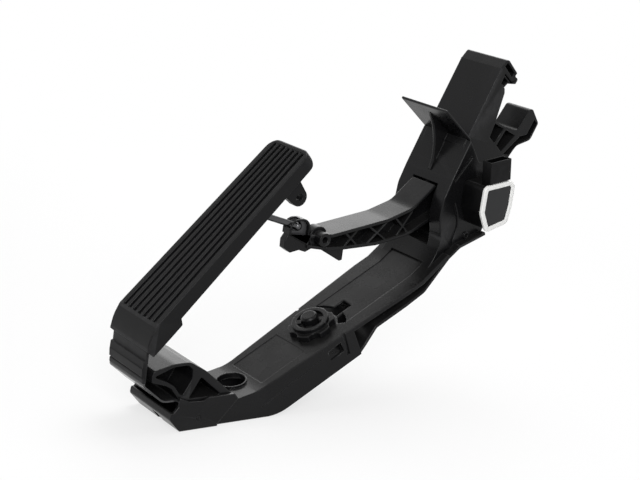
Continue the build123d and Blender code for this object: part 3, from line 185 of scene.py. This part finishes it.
def makeLamps(looks):
    for name, look in looks.items():
        data = bpy.data.lights.new(name, "AREA")
        data.shape = "DISK"
        data.size = look["size"]
        data.energy = look["power"]
        lamp = bpy.data.objects.new(name, data)
        scene.collection.objects.link(lamp)
        lamp.location = look["place"]
        away = Vector(look["place"]) - Vector(look["aim"])
        lamp.rotation_euler = away.to_track_quat("Z", "Y").to_euler()


scene.view_settings.view_transform = "Standard"
makeCamera(cameraLook)
makeFloor(floorLook)
makeWorld(worldLook)
makeLamps(lampLooks)
print("camera, floor and lamps ready")


# shader groups shared by the finishes
def newGroup(name, inputs, outputs):
    group = bpy.data.node_groups.new(name, "ShaderNodeTree")
    for socketName, value in inputs.items():
        socket = group.interface.new_socket(socketName, in_out="INPUT", socket_type="NodeSocketFloat")
        socket.default_value = value
    for socketName in outputs:
        group.interface.new_socket(socketName, in_out="OUTPUT", socket_type="NodeSocketFloat")
    return group, group.nodes.new("NodeGroupInput"), group.nodes.new("NodeGroupOutput")


def makeMouldGrain():
    # fine eroded skin of a moulding and a slow mottle of its gloss
    group, entry, out = newGroup("mouldGrain", {"Scale": 1800.0, "Pits": 0.5}, ["Height", "Mottle"])
    coord = addNode(group, "ShaderNodeTexCoord")
    fine = addNode(group, "ShaderNodeTexNoise", {"Detail": 3.0, "Roughness": 0.6})
    group.links.new(coord.outputs["Object"], fine.inputs["Vector"])
    group.links.new(entry.outputs["Scale"], fine.inputs["Scale"])
    pits = addNode(group, "ShaderNodeTexVoronoi", {"feature": "SMOOTH_F1"})
    group.links.new(coord.outputs["Object"], pits.inputs["Vector"])
    group.links.new(entry.outputs["Scale"], pits.inputs["Scale"])
    weighted = addNode(group, "ShaderNodeMath", {"operation": "MULTIPLY"})
    group.links.new(pits.outputs["Distance"], weighted.inputs[0])
    group.links.new(entry.outputs["Pits"], weighted.inputs[1])
    total = addNode(group, "ShaderNodeMath", {"operation": "ADD"})
    group.links.new(fine.outputs["Fac"], total.inputs[0])
    group.links.new(weighted.outputs[0], total.inputs[1])
    group.links.new(total.outputs[0], out.inputs["Height"])
    slow = addNode(group, "ShaderNodeTexNoise", {"Scale": 45.0, "Detail": 4.0, "Roughness": 0.55})
    group.links.new(coord.outputs["Object"], slow.inputs["Vector"])
    group.links.new(slow.outputs["Fac"], out.inputs["Mottle"])
    return group


flatPoint = 0.52    # pointiness just above that of a flat face


def makeEdgeSheen():
    # painted sheen: convex edges, found by pointiness, take in patches an edge colour that stands in for
    # their highlight, lighter on the dark finishes
    group, entry, out = newGroup("edgeSheen", {"Reach": 0.06, "Patchy": 0.5}, ["Mask"])
    shape = addNode(group, "ShaderNodeNewGeometry")
    top = addNode(group, "ShaderNodeMath", {"operation": "ADD", 1: flatPoint})
    group.links.new(entry.outputs["Reach"], top.inputs[0])
    edge = addNode(group, "ShaderNodeMapRange", {"From Min": flatPoint})
    group.links.new(shape.outputs["Pointiness"], edge.inputs["Value"])
    group.links.new(top.outputs[0], edge.inputs["From Max"])
    coord = addNode(group, "ShaderNodeTexCoord")
    patch = addNode(group, "ShaderNodeTexNoise", {"Scale": 160.0, "Detail": 3.0})
    group.links.new(coord.outputs["Object"], patch.inputs["Vector"])
    spread = addNode(group, "ShaderNodeMapRange", {"From Min": 0.35, "From Max": 0.65, "To Max": 1.0})
    keep = addNode(group, "ShaderNodeMath", {"operation": "SUBTRACT", 0: 1.0})
    group.links.new(entry.outputs["Patchy"], keep.inputs[1])
    group.links.new(keep.outputs[0], spread.inputs["To Min"])
    group.links.new(patch.outputs["Fac"], spread.inputs["Value"])
    mask = addNode(group, "ShaderNodeMath", {"operation": "MULTIPLY"})
    group.links.new(edge.outputs[0], mask.inputs[0])
    group.links.new(spread.outputs[0], mask.inputs[1])
    group.links.new(mask.outputs[0], out.inputs["Mask"])
    return group


def makeDustFilm():
    # a breath of dust on what faces up
    group, entry, out = newGroup("dustFilm", {"Amount": 0.1}, ["Mask"])
    shape = addNode(group, "ShaderNodeNewGeometry")
    split = addNode(group, "ShaderNodeSeparateXYZ", links={"Vector": shape.outputs["Normal"]})
    facing = addNode(group, "ShaderNodeMapRange", {"From Min": 0.3, "From Max": 1.0})
    group.links.new(split.outputs["Z"], facing.inputs["Value"])
    coord = addNode(group, "ShaderNodeTexCoord")
    cloud = addNode(group, "ShaderNodeTexNoise", {"Scale": 70.0, "Detail": 6.0, "Roughness": 0.65})
    group.links.new(coord.outputs["Object"], cloud.inputs["Vector"])
    patch = addNode(group, "ShaderNodeMath", {"operation": "MULTIPLY"})
    group.links.new(facing.outputs[0], patch.inputs[0])
    group.links.new(cloud.outputs["Fac"], patch.inputs[1])
    amount = addNode(group, "ShaderNodeMath", {"operation": "MULTIPLY"})
    group.links.new(patch.outputs[0], amount.inputs[0])
    group.links.new(entry.outputs["Amount"], amount.inputs[1])
    group.links.new(amount.outputs[0], out.inputs["Mask"])
    return group


mouldGrain = makeMouldGrain()
edgeSheen = makeEdgeSheen()
dustFilm = makeDustFilm()
dustColour = (0.20, 0.195, 0.185, 1.0)


def placeGroup(tree, group, values):
    node = tree.nodes.new("ShaderNodeGroup")
    node.node_tree = group
    for key, value in values.items():
        node.inputs[key].default_value = value
    return node


def newFinish(name):
    material = bpy.data.materials.new(name)
    material.use_nodes = True
    tree = material.node_tree
    shader = tree.nodes["Principled BSDF"]
    return material, tree, shader


def mixColour(tree, mask, first, second):
    # a colour or a socket on either side
    mix = tree.nodes.new("ShaderNodeMix")
    mix.data_type = "RGBA"
    tree.links.new(mask, mix.inputs["Factor"])
    for socket, source in ((mix.inputs[6], first), (mix.inputs[7], second)):
        if isinstance(source, tuple):
            socket.default_value = source
        else:
            tree.links.new(source, socket)
    return mix.outputs[2]


def moulding(name, look):
    # moulded plastic: grained skin, uneven gloss, painted sheen on the convex edges and a little dust
    material, tree, shader = newFinish(name)
    grain = placeGroup(tree, mouldGrain, {"Scale": look["grainScale"], "Pits": look["pits"]})
    # painted highlight: the convex-edge mask below brings in each finish's edge colour
    sheen = placeGroup(tree, edgeSheen, {"Reach": look["sheenReach"], "Patchy": 0.5})
    dust = placeGroup(tree, dustFilm, {"Amount": look["dust"]})
    base = mixColour(tree, grain.outputs["Mottle"], look["colour"], look["colourTwo"])
    withSheen = mixColour(tree, sheen.outputs["Mask"], base, look["sheenColour"])
    dusty = mixColour(tree, dust.outputs["Mask"], withSheen, dustColour)
    tree.links.new(dusty, shader.inputs["Base Color"])
    gloss = addNode(tree, "ShaderNodeMapRange", {"From Min": 0.3, "From Max": 0.7})
    gloss.inputs["To Min"].default_value = look["roughness"] - look["unevenness"]
    gloss.inputs["To Max"].default_value = look["roughness"] + look["unevenness"]
    tree.links.new(grain.outputs["Mottle"], gloss.inputs["Value"])
    tree.links.new(gloss.outputs[0], shader.inputs["Roughness"])
    softEdge = addNode(tree, "ShaderNodeBevel", {"samples": 6, "Radius": look["softEdge"] * mm})
    bump = addNode(tree, "ShaderNodeBump", {"Strength": look["bump"], "Distance": 0.00008})
    tree.links.new(grain.outputs["Height"], bump.inputs["Height"])
    tree.links.new(softEdge.outputs["Normal"], bump.inputs["Normal"])
    tree.links.new(bump.outputs["Normal"], shader.inputs["Normal"])
    shader.inputs["Specular IOR Level"].default_value = look["specular"]
    return material


def metal(name, look):
    # drawn or turned metal: streaks along one axis and a mottled gloss
    material, tree, shader = newFinish(name)
    shader.inputs["Metallic"].default_value = 1.0
    coord = addNode(tree, "ShaderNodeTexCoord")
    stretch = addNode(tree, "ShaderNodeMapping", {"Scale": look["streak"]})
    tree.links.new(coord.outputs["Object"], stretch.inputs["Vector"])
    lines = addNode(tree, "ShaderNodeTexNoise", {"Scale": 1.0, "Detail": 4.0, "Roughness": 0.6})
    tree.links.new(stretch.outputs["Vector"], lines.inputs["Vector"])
    colour = mixColour(tree, lines.outputs["Fac"], look["colour"], look["colourTwo"])
    tree.links.new(colour, shader.inputs["Base Color"])
    gloss = addNode(tree, "ShaderNodeMapRange", {"From Min": 0.3, "From Max": 0.7})
    gloss.inputs["To Min"].default_value = look["roughness"] - look["unevenness"]
    gloss.inputs["To Max"].default_value = look["roughness"] + look["unevenness"]
    tree.links.new(lines.outputs["Fac"], gloss.inputs["Value"])
    tree.links.new(gloss.outputs[0], shader.inputs["Roughness"])
    bump = addNode(tree, "ShaderNodeBump", {"Strength": 0.15, "Distance": 0.00003})
    tree.links.new(lines.outputs["Fac"], bump.inputs["Height"])
    tree.links.new(bump.outputs["Normal"], shader.inputs["Normal"])
    return material


# each finish's edge colour is a painted highlight along its convex edges, not wear
mouldLooks = {
    "black_plastic": {
        "colour": (0.0042, 0.0042, 0.0046, 1.0), "colourTwo": (0.0060, 0.0060, 0.0065, 1.0),
        "sheenColour": (0.022, 0.022, 0.023, 1.0), "sheenReach": 0.08, "roughness": 0.26, "unevenness": 0.05,
        "grainScale": 1900.0, "pits": 0.6, "bump": 0.10, "dust": 0.08, "specular": 0.15, "softEdge": 0.9,
    },
    "tread_plastic": {
        "colour": (0.0026, 0.0026, 0.0029, 1.0), "colourTwo": (0.0040, 0.0040, 0.0044, 1.0),
        "sheenColour": (0.018, 0.018, 0.019, 1.0), "sheenReach": 0.08, "roughness": 0.42, "unevenness": 0.05,
        "grainScale": 1500.0, "pits": 0.8, "bump": 0.16, "dust": 0.04, "specular": 0.14, "softEdge": 0.8,
    },
    "hinge_plastic": {
        "colour": (0.0090, 0.0090, 0.0095, 1.0), "colourTwo": (0.0140, 0.0140, 0.0148, 1.0),
        "sheenColour": (0.040, 0.040, 0.042, 1.0), "sheenReach": 0.10, "roughness": 0.17, "unevenness": 0.05,
        "grainScale": 700.0, "pits": 0.2, "bump": 0.12, "dust": 0.05, "specular": 0.50, "softEdge": 0.3,
    },
    "socket_plastic": {
        "colour": (0.0300, 0.0300, 0.0318, 1.0), "colourTwo": (0.0400, 0.0400, 0.0424, 1.0),
        "sheenColour": (0.060, 0.060, 0.062, 1.0), "sheenReach": 0.08, "roughness": 0.36, "unevenness": 0.05,
        "grainScale": 1500.0, "pits": 0.3, "bump": 0.15, "dust": 0.03, "specular": 0.35, "softEdge": 0.4,
    },
    "sensor_plastic": {
        "colour": (0.0012, 0.0012, 0.0013, 1.0), "colourTwo": (0.0020, 0.0020, 0.0022, 1.0),
        "sheenColour": (0.020, 0.020, 0.021, 1.0), "sheenReach": 0.08, "roughness": 0.36, "unevenness": 0.05,
        "grainScale": 2200.0, "pits": 0.4, "bump": 0.10, "dust": 0.03, "specular": 0.09, "softEdge": 0.5,
    },
    "cover_plastic": {
        "colour": (0.0050, 0.0053, 0.0060, 1.0), "colourTwo": (0.0072, 0.0076, 0.0085, 1.0),
        "sheenColour": (0.024, 0.024, 0.025, 1.0), "sheenReach": 0.08, "roughness": 0.32, "unevenness": 0.06,
        "grainScale": 1200.0, "pits": 0.3, "bump": 0.16, "dust": 0.05, "specular": 0.30, "softEdge": 0.5,
    },
    "pale_gasket": {
        "colour": (0.87, 0.87, 0.855, 1.0), "colourTwo": (0.91, 0.91, 0.895, 1.0),
        "sheenColour": (0.74, 0.74, 0.72, 1.0), "sheenReach": 0.10, "roughness": 0.55, "unevenness": 0.06,
        "grainScale": 900.0, "pits": 0.4, "bump": 0.20, "dust": 0.02, "specular": 0.40, "softEdge": 0.5,
    },
    "board_laminate": {
        "colour": (0.015, 0.120, 0.050, 1.0), "colourTwo": (0.020, 0.150, 0.065, 1.0),
        "sheenColour": (0.30, 0.27, 0.16, 1.0), "sheenReach": 0.12, "roughness": 0.30, "unevenness": 0.05,
        "grainScale": 800.0, "pits": 0.5, "bump": 0.20, "dust": 0.03, "specular": 0.50, "softEdge": 0.1,
    },
    "magnet": {
        "colour": (0.09, 0.09, 0.095, 1.0), "colourTwo": (0.12, 0.12, 0.125, 1.0),
        "sheenColour": (0.20, 0.20, 0.20, 1.0), "sheenReach": 0.10, "roughness": 0.38, "unevenness": 0.05,
        "grainScale": 1300.0, "pits": 0.6, "bump": 0.25, "dust": 0.02, "specular": 0.50, "softEdge": 0.2,
    },
}
metalLooks = {
    "steel": {
        "colour": (0.060, 0.060, 0.062, 1.0), "colourTwo": (0.095, 0.095, 0.098, 1.0),
        "roughness": 0.30, "unevenness": 0.08, "streak": (900.0, 60.0, 900.0),
    },
    "spring_steel": {
        "colour": (0.24, 0.24, 0.25, 1.0), "colourTwo": (0.32, 0.32, 0.33, 1.0),
        "roughness": 0.38, "unevenness": 0.08, "streak": (500.0, 500.0, 500.0),
    },
    "brass": {
        "colour": (0.62, 0.44, 0.17, 1.0), "colourTwo": (0.72, 0.53, 0.23, 1.0),
        "roughness": 0.28, "unevenness": 0.08, "streak": (900.0, 900.0, 80.0),
    },
}
finishes = {name: moulding(name, look) for name, look in mouldLooks.items()}
finishes.update({name: metal(name, look) for name, look in metalLooks.items()})
slotOf = {part["node"]: part["material_slot"] for part in frame["record"]["subparts"]}
bodyOf = {node: body for body, nodes in frame["record"]["behaviour"]["bodies"].items() for node in nodes}
print("finishes ready:", len(finishes))


# pieces
def dress(obj, slotName, body, *nodes):
    obj.data.materials.clear()
    obj.data.materials.append(finishes[slotName])
    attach(obj, body)
    if nodes:
        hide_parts(*nodes)
    return obj


def meshObject(name, mesh):
    obj = bpy.data.objects.new(name, mesh)
    scene.collection.objects.link(obj)
    return obj


# each moulding keeps its solid's form, with its outer edges rounded as a mould leaves them
roundingLooks = {
    "pedal_bracket": {"width": 0.90, "segments": 3},
    "heel_block": {"width": 0.60, "segments": 3},
    "tread": {"width": 0.80, "segments": 3},
    "lever_arm": {"width": 0.60, "segments": 3, "flowing": True},
    "ball_socket": {"width": 0.30, "segments": 2},
    "sensor_housing": {"width": 0.50, "segments": 3},
    "sensor_cover": {"width": 0.50, "segments": 3},
    "sensor_gasket": {"width": 0.80, "segments": 4},
    "fastener_body": {"width": 0.50, "segments": 3},
    "fastener_pin": {"width": 0.40, "segments": 3},
    "spring_seat": {"width": 0.30, "segments": 2},
    "spring_cap": {"width": 0.30, "segments": 2},
}
roundingRules = {
    "sharp": math.radians(28.0),    # faces that meet at more than this make a sharp edge
    "corner": math.radians(50.0),   # a turn of more than this ends a run of edges
    "run": math.radians(40.0),      # edges that turn by less share one width
    "runShare": 0.5,                # unless one is narrower than this share of the other
    "roomShare": 0.42,              # most of a face's width that one rounded edge may take
    "slideShare": 0.75,             # most of a neighbouring edge's length that it may take
    "least": 0.08 * mm,             # narrower edges stay sharp
    "strayShare": 0.6,              # in widths, farthest off the solid that a rounded corner may be
    "strayReach": 2.0,              # in widths, farthest along the solid from a rounded edge
    "calmReach": 1.5,               # in widths, how near to a stray's root an edge goes back to sharp
    "calmRounds": 10,
    "faceSteps": 12,                # most faces that are crossed in looking for room
    "weld": 0.004 * mm,
    "sliver": 0.002 * mm,
    "flat": math.radians(0.4),      # flatter edges are dissolved
}


def isSharp(edge):
    return len(edge.link_faces) != 2 or edge.calc_face_angle() > roundingRules["sharp"]


def roomAcross(edge, face, reach):
    # how far the surface runs from the edge before the next sharp edge
    start = (edge.verts[0].co + edge.verts[1].co) / 2
    loop = next(l for l in face.loops if l.edge == edge)
    heading = face.normal.cross(loop.link_loop_next.vert.co - loop.vert.co).normalized()
    gone = 0.0
    for step in range(roundingRules["faceSteps"]):
        nearest, crossed = None, None
        sideways = face.normal.cross(heading)
        for other in face.edges:
            if other == edge:
                continue
            a, b = (v.co - start for v in other.verts)
            da, db = a.dot(sideways), b.dot(sideways)
            if (da > 0) == (db > 0):
                continue
            ahead = (a + (b - a) * (da / (da - db))).dot(heading)
            if ahead > 1e-7 and (nearest is None or ahead < nearest):
                nearest, crossed = ahead, other
        if crossed is None:
            return gone
        gone += nearest
        if gone >= reach or isSharp(crossed):
            return gone
        start = start + heading * nearest
        edge = crossed
        face = next(f for f in crossed.link_faces if f != face)
        heading = (heading - face.normal * heading.dot(face.normal)).normalized()
    return gone


def turnAt(edge, vert):
    # the one other sharp edge that carries on here, and the turn between them
    others = [e for e in vert.link_edges if e != edge and isSharp(e)]
    if len(others) != 1:
        return None, math.pi
    inward = vert.co - edge.other_vert(vert).co
    outward = others[0].other_vert(vert).co - vert.co
    return others[0], inward.angle(outward, 0.0)


def roundWidth(edge, width):
    # the widest rounding that this edge has room for
    roomShare, slideShare = roundingRules["roomShare"], roundingRules["slideShare"]
    allowed = width
    for face in edge.link_faces:
        allowed = min(allowed, roomAcross(edge, face, width / roomShare) * roomShare)
    lost = 0.0
    for vert in edge.verts:
        follower, turn = turnAt(edge, vert)
        if follower is None or turn > roundingRules["corner"]:
            lost += 1.0
        else:
            lost += math.tan(turn / 2)
        for other in vert.link_edges:
            if not isSharp(other):
                allowed = min(allowed, other.calc_length() * slideShare)
    if lost > 0:
        allowed = min(allowed, edge.calc_length() * slideShare / lost)
    return allowed


def evenWidths(widths):
    # edges that run on into each other share the narrowest width, unless it is far narrower
    done = set()
    for first in list(widths):
        if first in done:
            continue
        chain, queue = [], [first]
        while queue:
            edge = queue.pop()
            if edge in done:
                continue
            done.add(edge)
            chain.append(edge)
            for vert in edge.verts:
                follower, turn = turnAt(edge, vert)
                if follower in widths and turn < roundingRules["run"] and follower not in done:
                    pair = sorted((widths[edge], widths[follower]))
                    if pair[0] > pair[1] * roundingRules["runShare"]:
                        queue.append(follower)
        least = min(widths[edge] for edge in chain)
        for edge in chain:
            widths[edge] = least


def edgeGap(place, ends):
    # distance from a place to a straight edge
    foot, share = intersect_point_line(place, *ends)
    return (place - (ends[0] if share < 0 else ends[1] if share > 1 else foot)).length


def shownShape(obj):
    # places and links of the mesh as the modifiers leave it
    obj.data.update_tag()
    bpy.context.view_layer.update()
    shown = obj.evaluated_get(bpy.context.evaluated_depsgraph_get())
    result = shown.to_mesh()
    places = [v.co.copy() for v in result.vertices]
    links = [tuple(e.vertices) for e in result.edges]
    shown.to_mesh_clear()
    return places, links


def calmStrays(obj, width):
    # edges whose rounding throws a corner off the solid, or far along it, go back to sharp
    mesh = obj.data
    corners = [v.co.copy() for v in mesh.vertices]
    surface = BVHTree.FromPolygons(corners, [tuple(p.vertices) for p in mesh.polygons])
    known = KDTree(len(corners))
    for i, corner in enumerate(corners):
        known.insert(corner, i)
    known.balance()
    weights = mesh.attributes["bevel_weight_edge"].data
    for attempt in range(roundingRules["calmRounds"]):
        rounded = [e for e in mesh.edges if weights[e.index].value > 0]
        spans = [[corners[i] for i in e.vertices] for e in rounded]
        ends = [end for span in spans for end in span + [span[1]]]  # each edge as a flat triangle
        lines = BVHTree.FromPolygons(ends, [(3 * i, 3 * i + 1, 3 * i + 2) for i in range(len(spans))])
        places, links = shownShape(obj)
        stray = []
        for place in places:
            off = surface.find_nearest(place)[3] > width * roundingRules["strayShare"]
            if not off and known.find(place)[2] > 1e-7:
                off = lines.find_nearest(place, width * roundingRules["strayReach"])[0] is None
            stray.append(off)
        if not any(stray):
            break
        roots = [places[b] if stray[a] else places[a] for a, b in links if stray[a] != stray[b]]
        for edge, span in zip(rounded, spans):
            if any(edgeGap(root, span) < width * roundingRules["calmReach"] for root in roots):
                weights[edge.index].value = 0.0


def roundedCopy(node, look):
    source = frame["nodes"][node]
    shape = bmesh.new()
    shape.from_mesh(source.data)
    bmesh.ops.remove_doubles(shape, verts=shape.verts, dist=roundingRules["weld"])
    bmesh.ops.dissolve_degenerate(shape, edges=shape.edges, dist=roundingRules["sliver"])
    flat = roundingRules["flat"]
    bmesh.ops.dissolve_limit(shape, angle_limit=flat, verts=shape.verts, edges=shape.edges)
    width = look["width"] * mm
    share = shape.edges.layers.float.new("bevel_weight_edge")
    outer = [e for e in shape.edges if isSharp(e) and len(e.link_faces) == 2 and e.is_convex]
    widths = {e: roundWidth(e, width) for e in outer}
    evenWidths(widths)
    for edge, allowed in widths.items():
        if allowed > roundingRules["least"]:
            edge[share] = allowed / width
    mesh = bpy.data.meshes.new(node + "Moulded")
    shape.to_mesh(mesh)
    shape.free()
    if "custom_normal" in mesh.attributes:
        mesh.attributes.remove(mesh.attributes["custom_normal"])
    mesh.shade_smooth()
    mesh.set_sharp_from_angle(angle=roundingRules["sharp"])
    obj = meshObject(node + "Moulded", mesh)
    rounding = obj.modifiers.new("edgeRound", "BEVEL")
    rounding.width = width
    rounding.segments = look["segments"]
    rounding.limit_method = "WEIGHT"
    rounding.use_clamp_overlap = False
    rounding.miter_outer = "MITER_ARC"
    calmStrays(obj, width)
    if not look.get("flowing"):     # a flowing piece shades as one curve over its long flats
        evenShade = obj.modifiers.new("evenShade", "WEIGHTED_NORMAL")
        evenShade.keep_sharp = True
    return dress(obj, slotOf[node], bodyOf[node], node)


for node, look in roundingLooks.items():
    roundedCopy(node, look)
print("mouldings rounded:", len(roundingLooks))

# thin film hinge, curved from the tread's foot down into the heel block
filmLook = {
    "thickness": 1.4,
    "drop": 2.2,            # straight run under the tread's foot
    "rootRun": 12.5,        # straight run in the heel block
    "topRadius": 2.5,
    "rootRadius": 12.0,
    "rows": 40,
    "columns": 12,
    "still": 0.75,          # a share of its length, from the top
    "carried": 0.12,        # a share of its length, from the top
}
arcSteps = 8


def roundedPath(points, radii):
    # straight runs joined by tangent arcs, in the plane of the points
    path = [points[0]]
    for before, corner, after, radius in zip(points, points[1:], points[2:], radii):
        entering = (before - corner).normalized()
        leaving = (after - corner).normalized()
        half = entering.angle(leaving) / 2
        middle = (entering + leaving).normalized()
        centre = corner + middle * (radius / math.sin(half))
        first = corner + entering * (radius / math.tan(half)) - centre
        last = corner + leaving * (radius / math.tan(half)) - centre
        for step in range(arcSteps + 1):
            path.append(centre + first.normalized().slerp(last.normalized(), step / arcSteps) * radius)
    path.append(points[-1])
    return path


def evenPath(path, count):
    # the same line with evenly spaced points
    lengths = [0.0]
    for a, b in zip(path, path[1:]):
        lengths.append(lengths[-1] + (b - a).length)
    result = []
    for i in range(count + 1):
        want = lengths[-1] * i / count
        k = max(j for j in range(len(path) - 1) if lengths[j] <= want + 1e-12)
        share = (want - lengths[k]) / max(lengths[k + 1] - lengths[k], 1e-12)
        result.append(path[k].lerp(path[k + 1], min(share, 1.0)))
    return result


def makeFilm(look):
    low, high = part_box("film_hinge")
    thick = look["thickness"] * mm
    topY = low.y + thick / 2
    rootZ = low.z + thick / 2
    corners = [
        Vector((0, topY, high.z)),
        Vector((0, topY, high.z - look["drop"] * mm)),
        Vector((0, high.y - look["rootRun"] * mm, rootZ)),
        Vector((0, high.y, rootZ)),
    ]
    radii = [look["topRadius"] * mm, look["rootRadius"] * mm]
    line = evenPath(roundedPath(corners, radii), look["rows"])
    shape = bmesh.new()
    grid = []
    for i, point in enumerate(line):
        ahead = line[min(i + 1, len(line) - 1)] - line[max(i - 1, 0)]
        side = Vector((1, 0, 0)).cross(ahead).normalized() * thick / 2
        row = []
        for sign in (1, -1):
            for j in range(look["columns"] + 1):
                across = (j if sign > 0 else look["columns"] - j) / look["columns"]
                x = low.x + (high.x - low.x) * across
                row.append(shape.verts.new(Vector((x, 0, 0)) + point + side * sign))
        grid.append(row)
    count = len(grid[0])
    for a, b in zip(grid, grid[1:]):
        for j in range(count):
            shape.faces.new((a[j], a[(j + 1) % count], b[(j + 1) % count], b[j]))
    shape.faces.new(grid[0][::-1])
    shape.faces.new(grid[-1])
    bmesh.ops.recalc_face_normals(shape, faces=shape.faces)
    mesh = bpy.data.meshes.new("filmHinge")
    shape.to_mesh(mesh)
    shape.free()
    mesh.shade_smooth()
    mesh.set_sharp_from_angle(angle=roundingRules["sharp"])
    film = meshObject("filmHinge", mesh)
    film.data.materials.append(finishes["hinge_plastic"])
    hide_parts("film_hinge")
    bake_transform(film)


makeFilm(filmLook)
print("film hinge ready")

# the two return springs
springLooks = {
    "outer_spring": {"radius": 7.4, "wire": 1.0, "turns": 5.5, "around": 12, "perTurn": 40},
    "inner_spring": {"radius": 4.4, "wire": 0.8, "turns": 6.5, "around": 10, "perTurn": 36},
}
evenClimb = 0.65                    # share of the climb that is even, the rest is closer at both ends
wireEdge = math.radians(50.0)       # only the cut ends of the wire stay sharp


def makeSpring(node, look):
    low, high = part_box(node)
    centre = (low + high) / 2
    radius = look["radius"] * mm
    wire = look["wire"] * mm
    steps = int(look["turns"] * look["perTurn"])
    shape = bmesh.new()
    rings = []
    for i in range(steps + 1):
        share = i / steps
        turn = 2 * math.pi * look["turns"] * share
        closed = 0.5 - 0.5 * math.cos(math.pi * share)
        climb = evenClimb * share + (1 - evenClimb) * closed
        z = low.z + wire + (high.z - low.z - 2 * wire) * climb
        outward = Vector((math.cos(turn), math.sin(turn), 0))
        middle = Vector((centre.x, centre.y, z)) + outward * radius
        ring = []
        for k in range(look["around"]):
            a = 2 * math.pi * k / look["around"]
            spoke = outward * math.cos(a) + Vector((0, 0, 1)) * math.sin(a)
            ring.append(shape.verts.new(middle + spoke * wire))
        rings.append(ring)
    count = look["around"]
    for a, b in zip(rings, rings[1:]):
        for k in range(count):
            shape.faces.new((a[k], a[(k + 1) % count], b[(k + 1) % count], b[k]))
    shape.faces.new(rings[0][::-1])
    shape.faces.new(rings[-1])
    bmesh.ops.recalc_face_normals(shape, faces=shape.faces)
    mesh = bpy.data.meshes.new(node + "Coil")
    shape.to_mesh(mesh)
    shape.free()
    mesh.shade_smooth()
    mesh.set_sharp_from_angle(angle=wireEdge)
    spring = meshObject(node + "Coil", mesh)
    spring.data.materials.append(finishes["spring_steel"])
    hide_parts(node)
    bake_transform(spring)


for node, look in springLooks.items():
    makeSpring(node, look)
print("springs wound")

# solids whose form is already right keep it and take a finish
plainNodes = [
    "push_rod", "pivot_shaft", "shaft_clip", "left_bush", "right_bush", "rotor_magnet",
    "circuit_board", "connector_pins", "sensor_screws",
]
for node in plainNodes:
    solid = frame["nodes"][node]
    for slot in solid.material_slots:
        slot.material = finishes[slotOf[node]]
    if not solid.material_slots:
        solid.data.materials.append(finishes[slotOf[node]])
print("plain solids finished:", len(plainNodes))
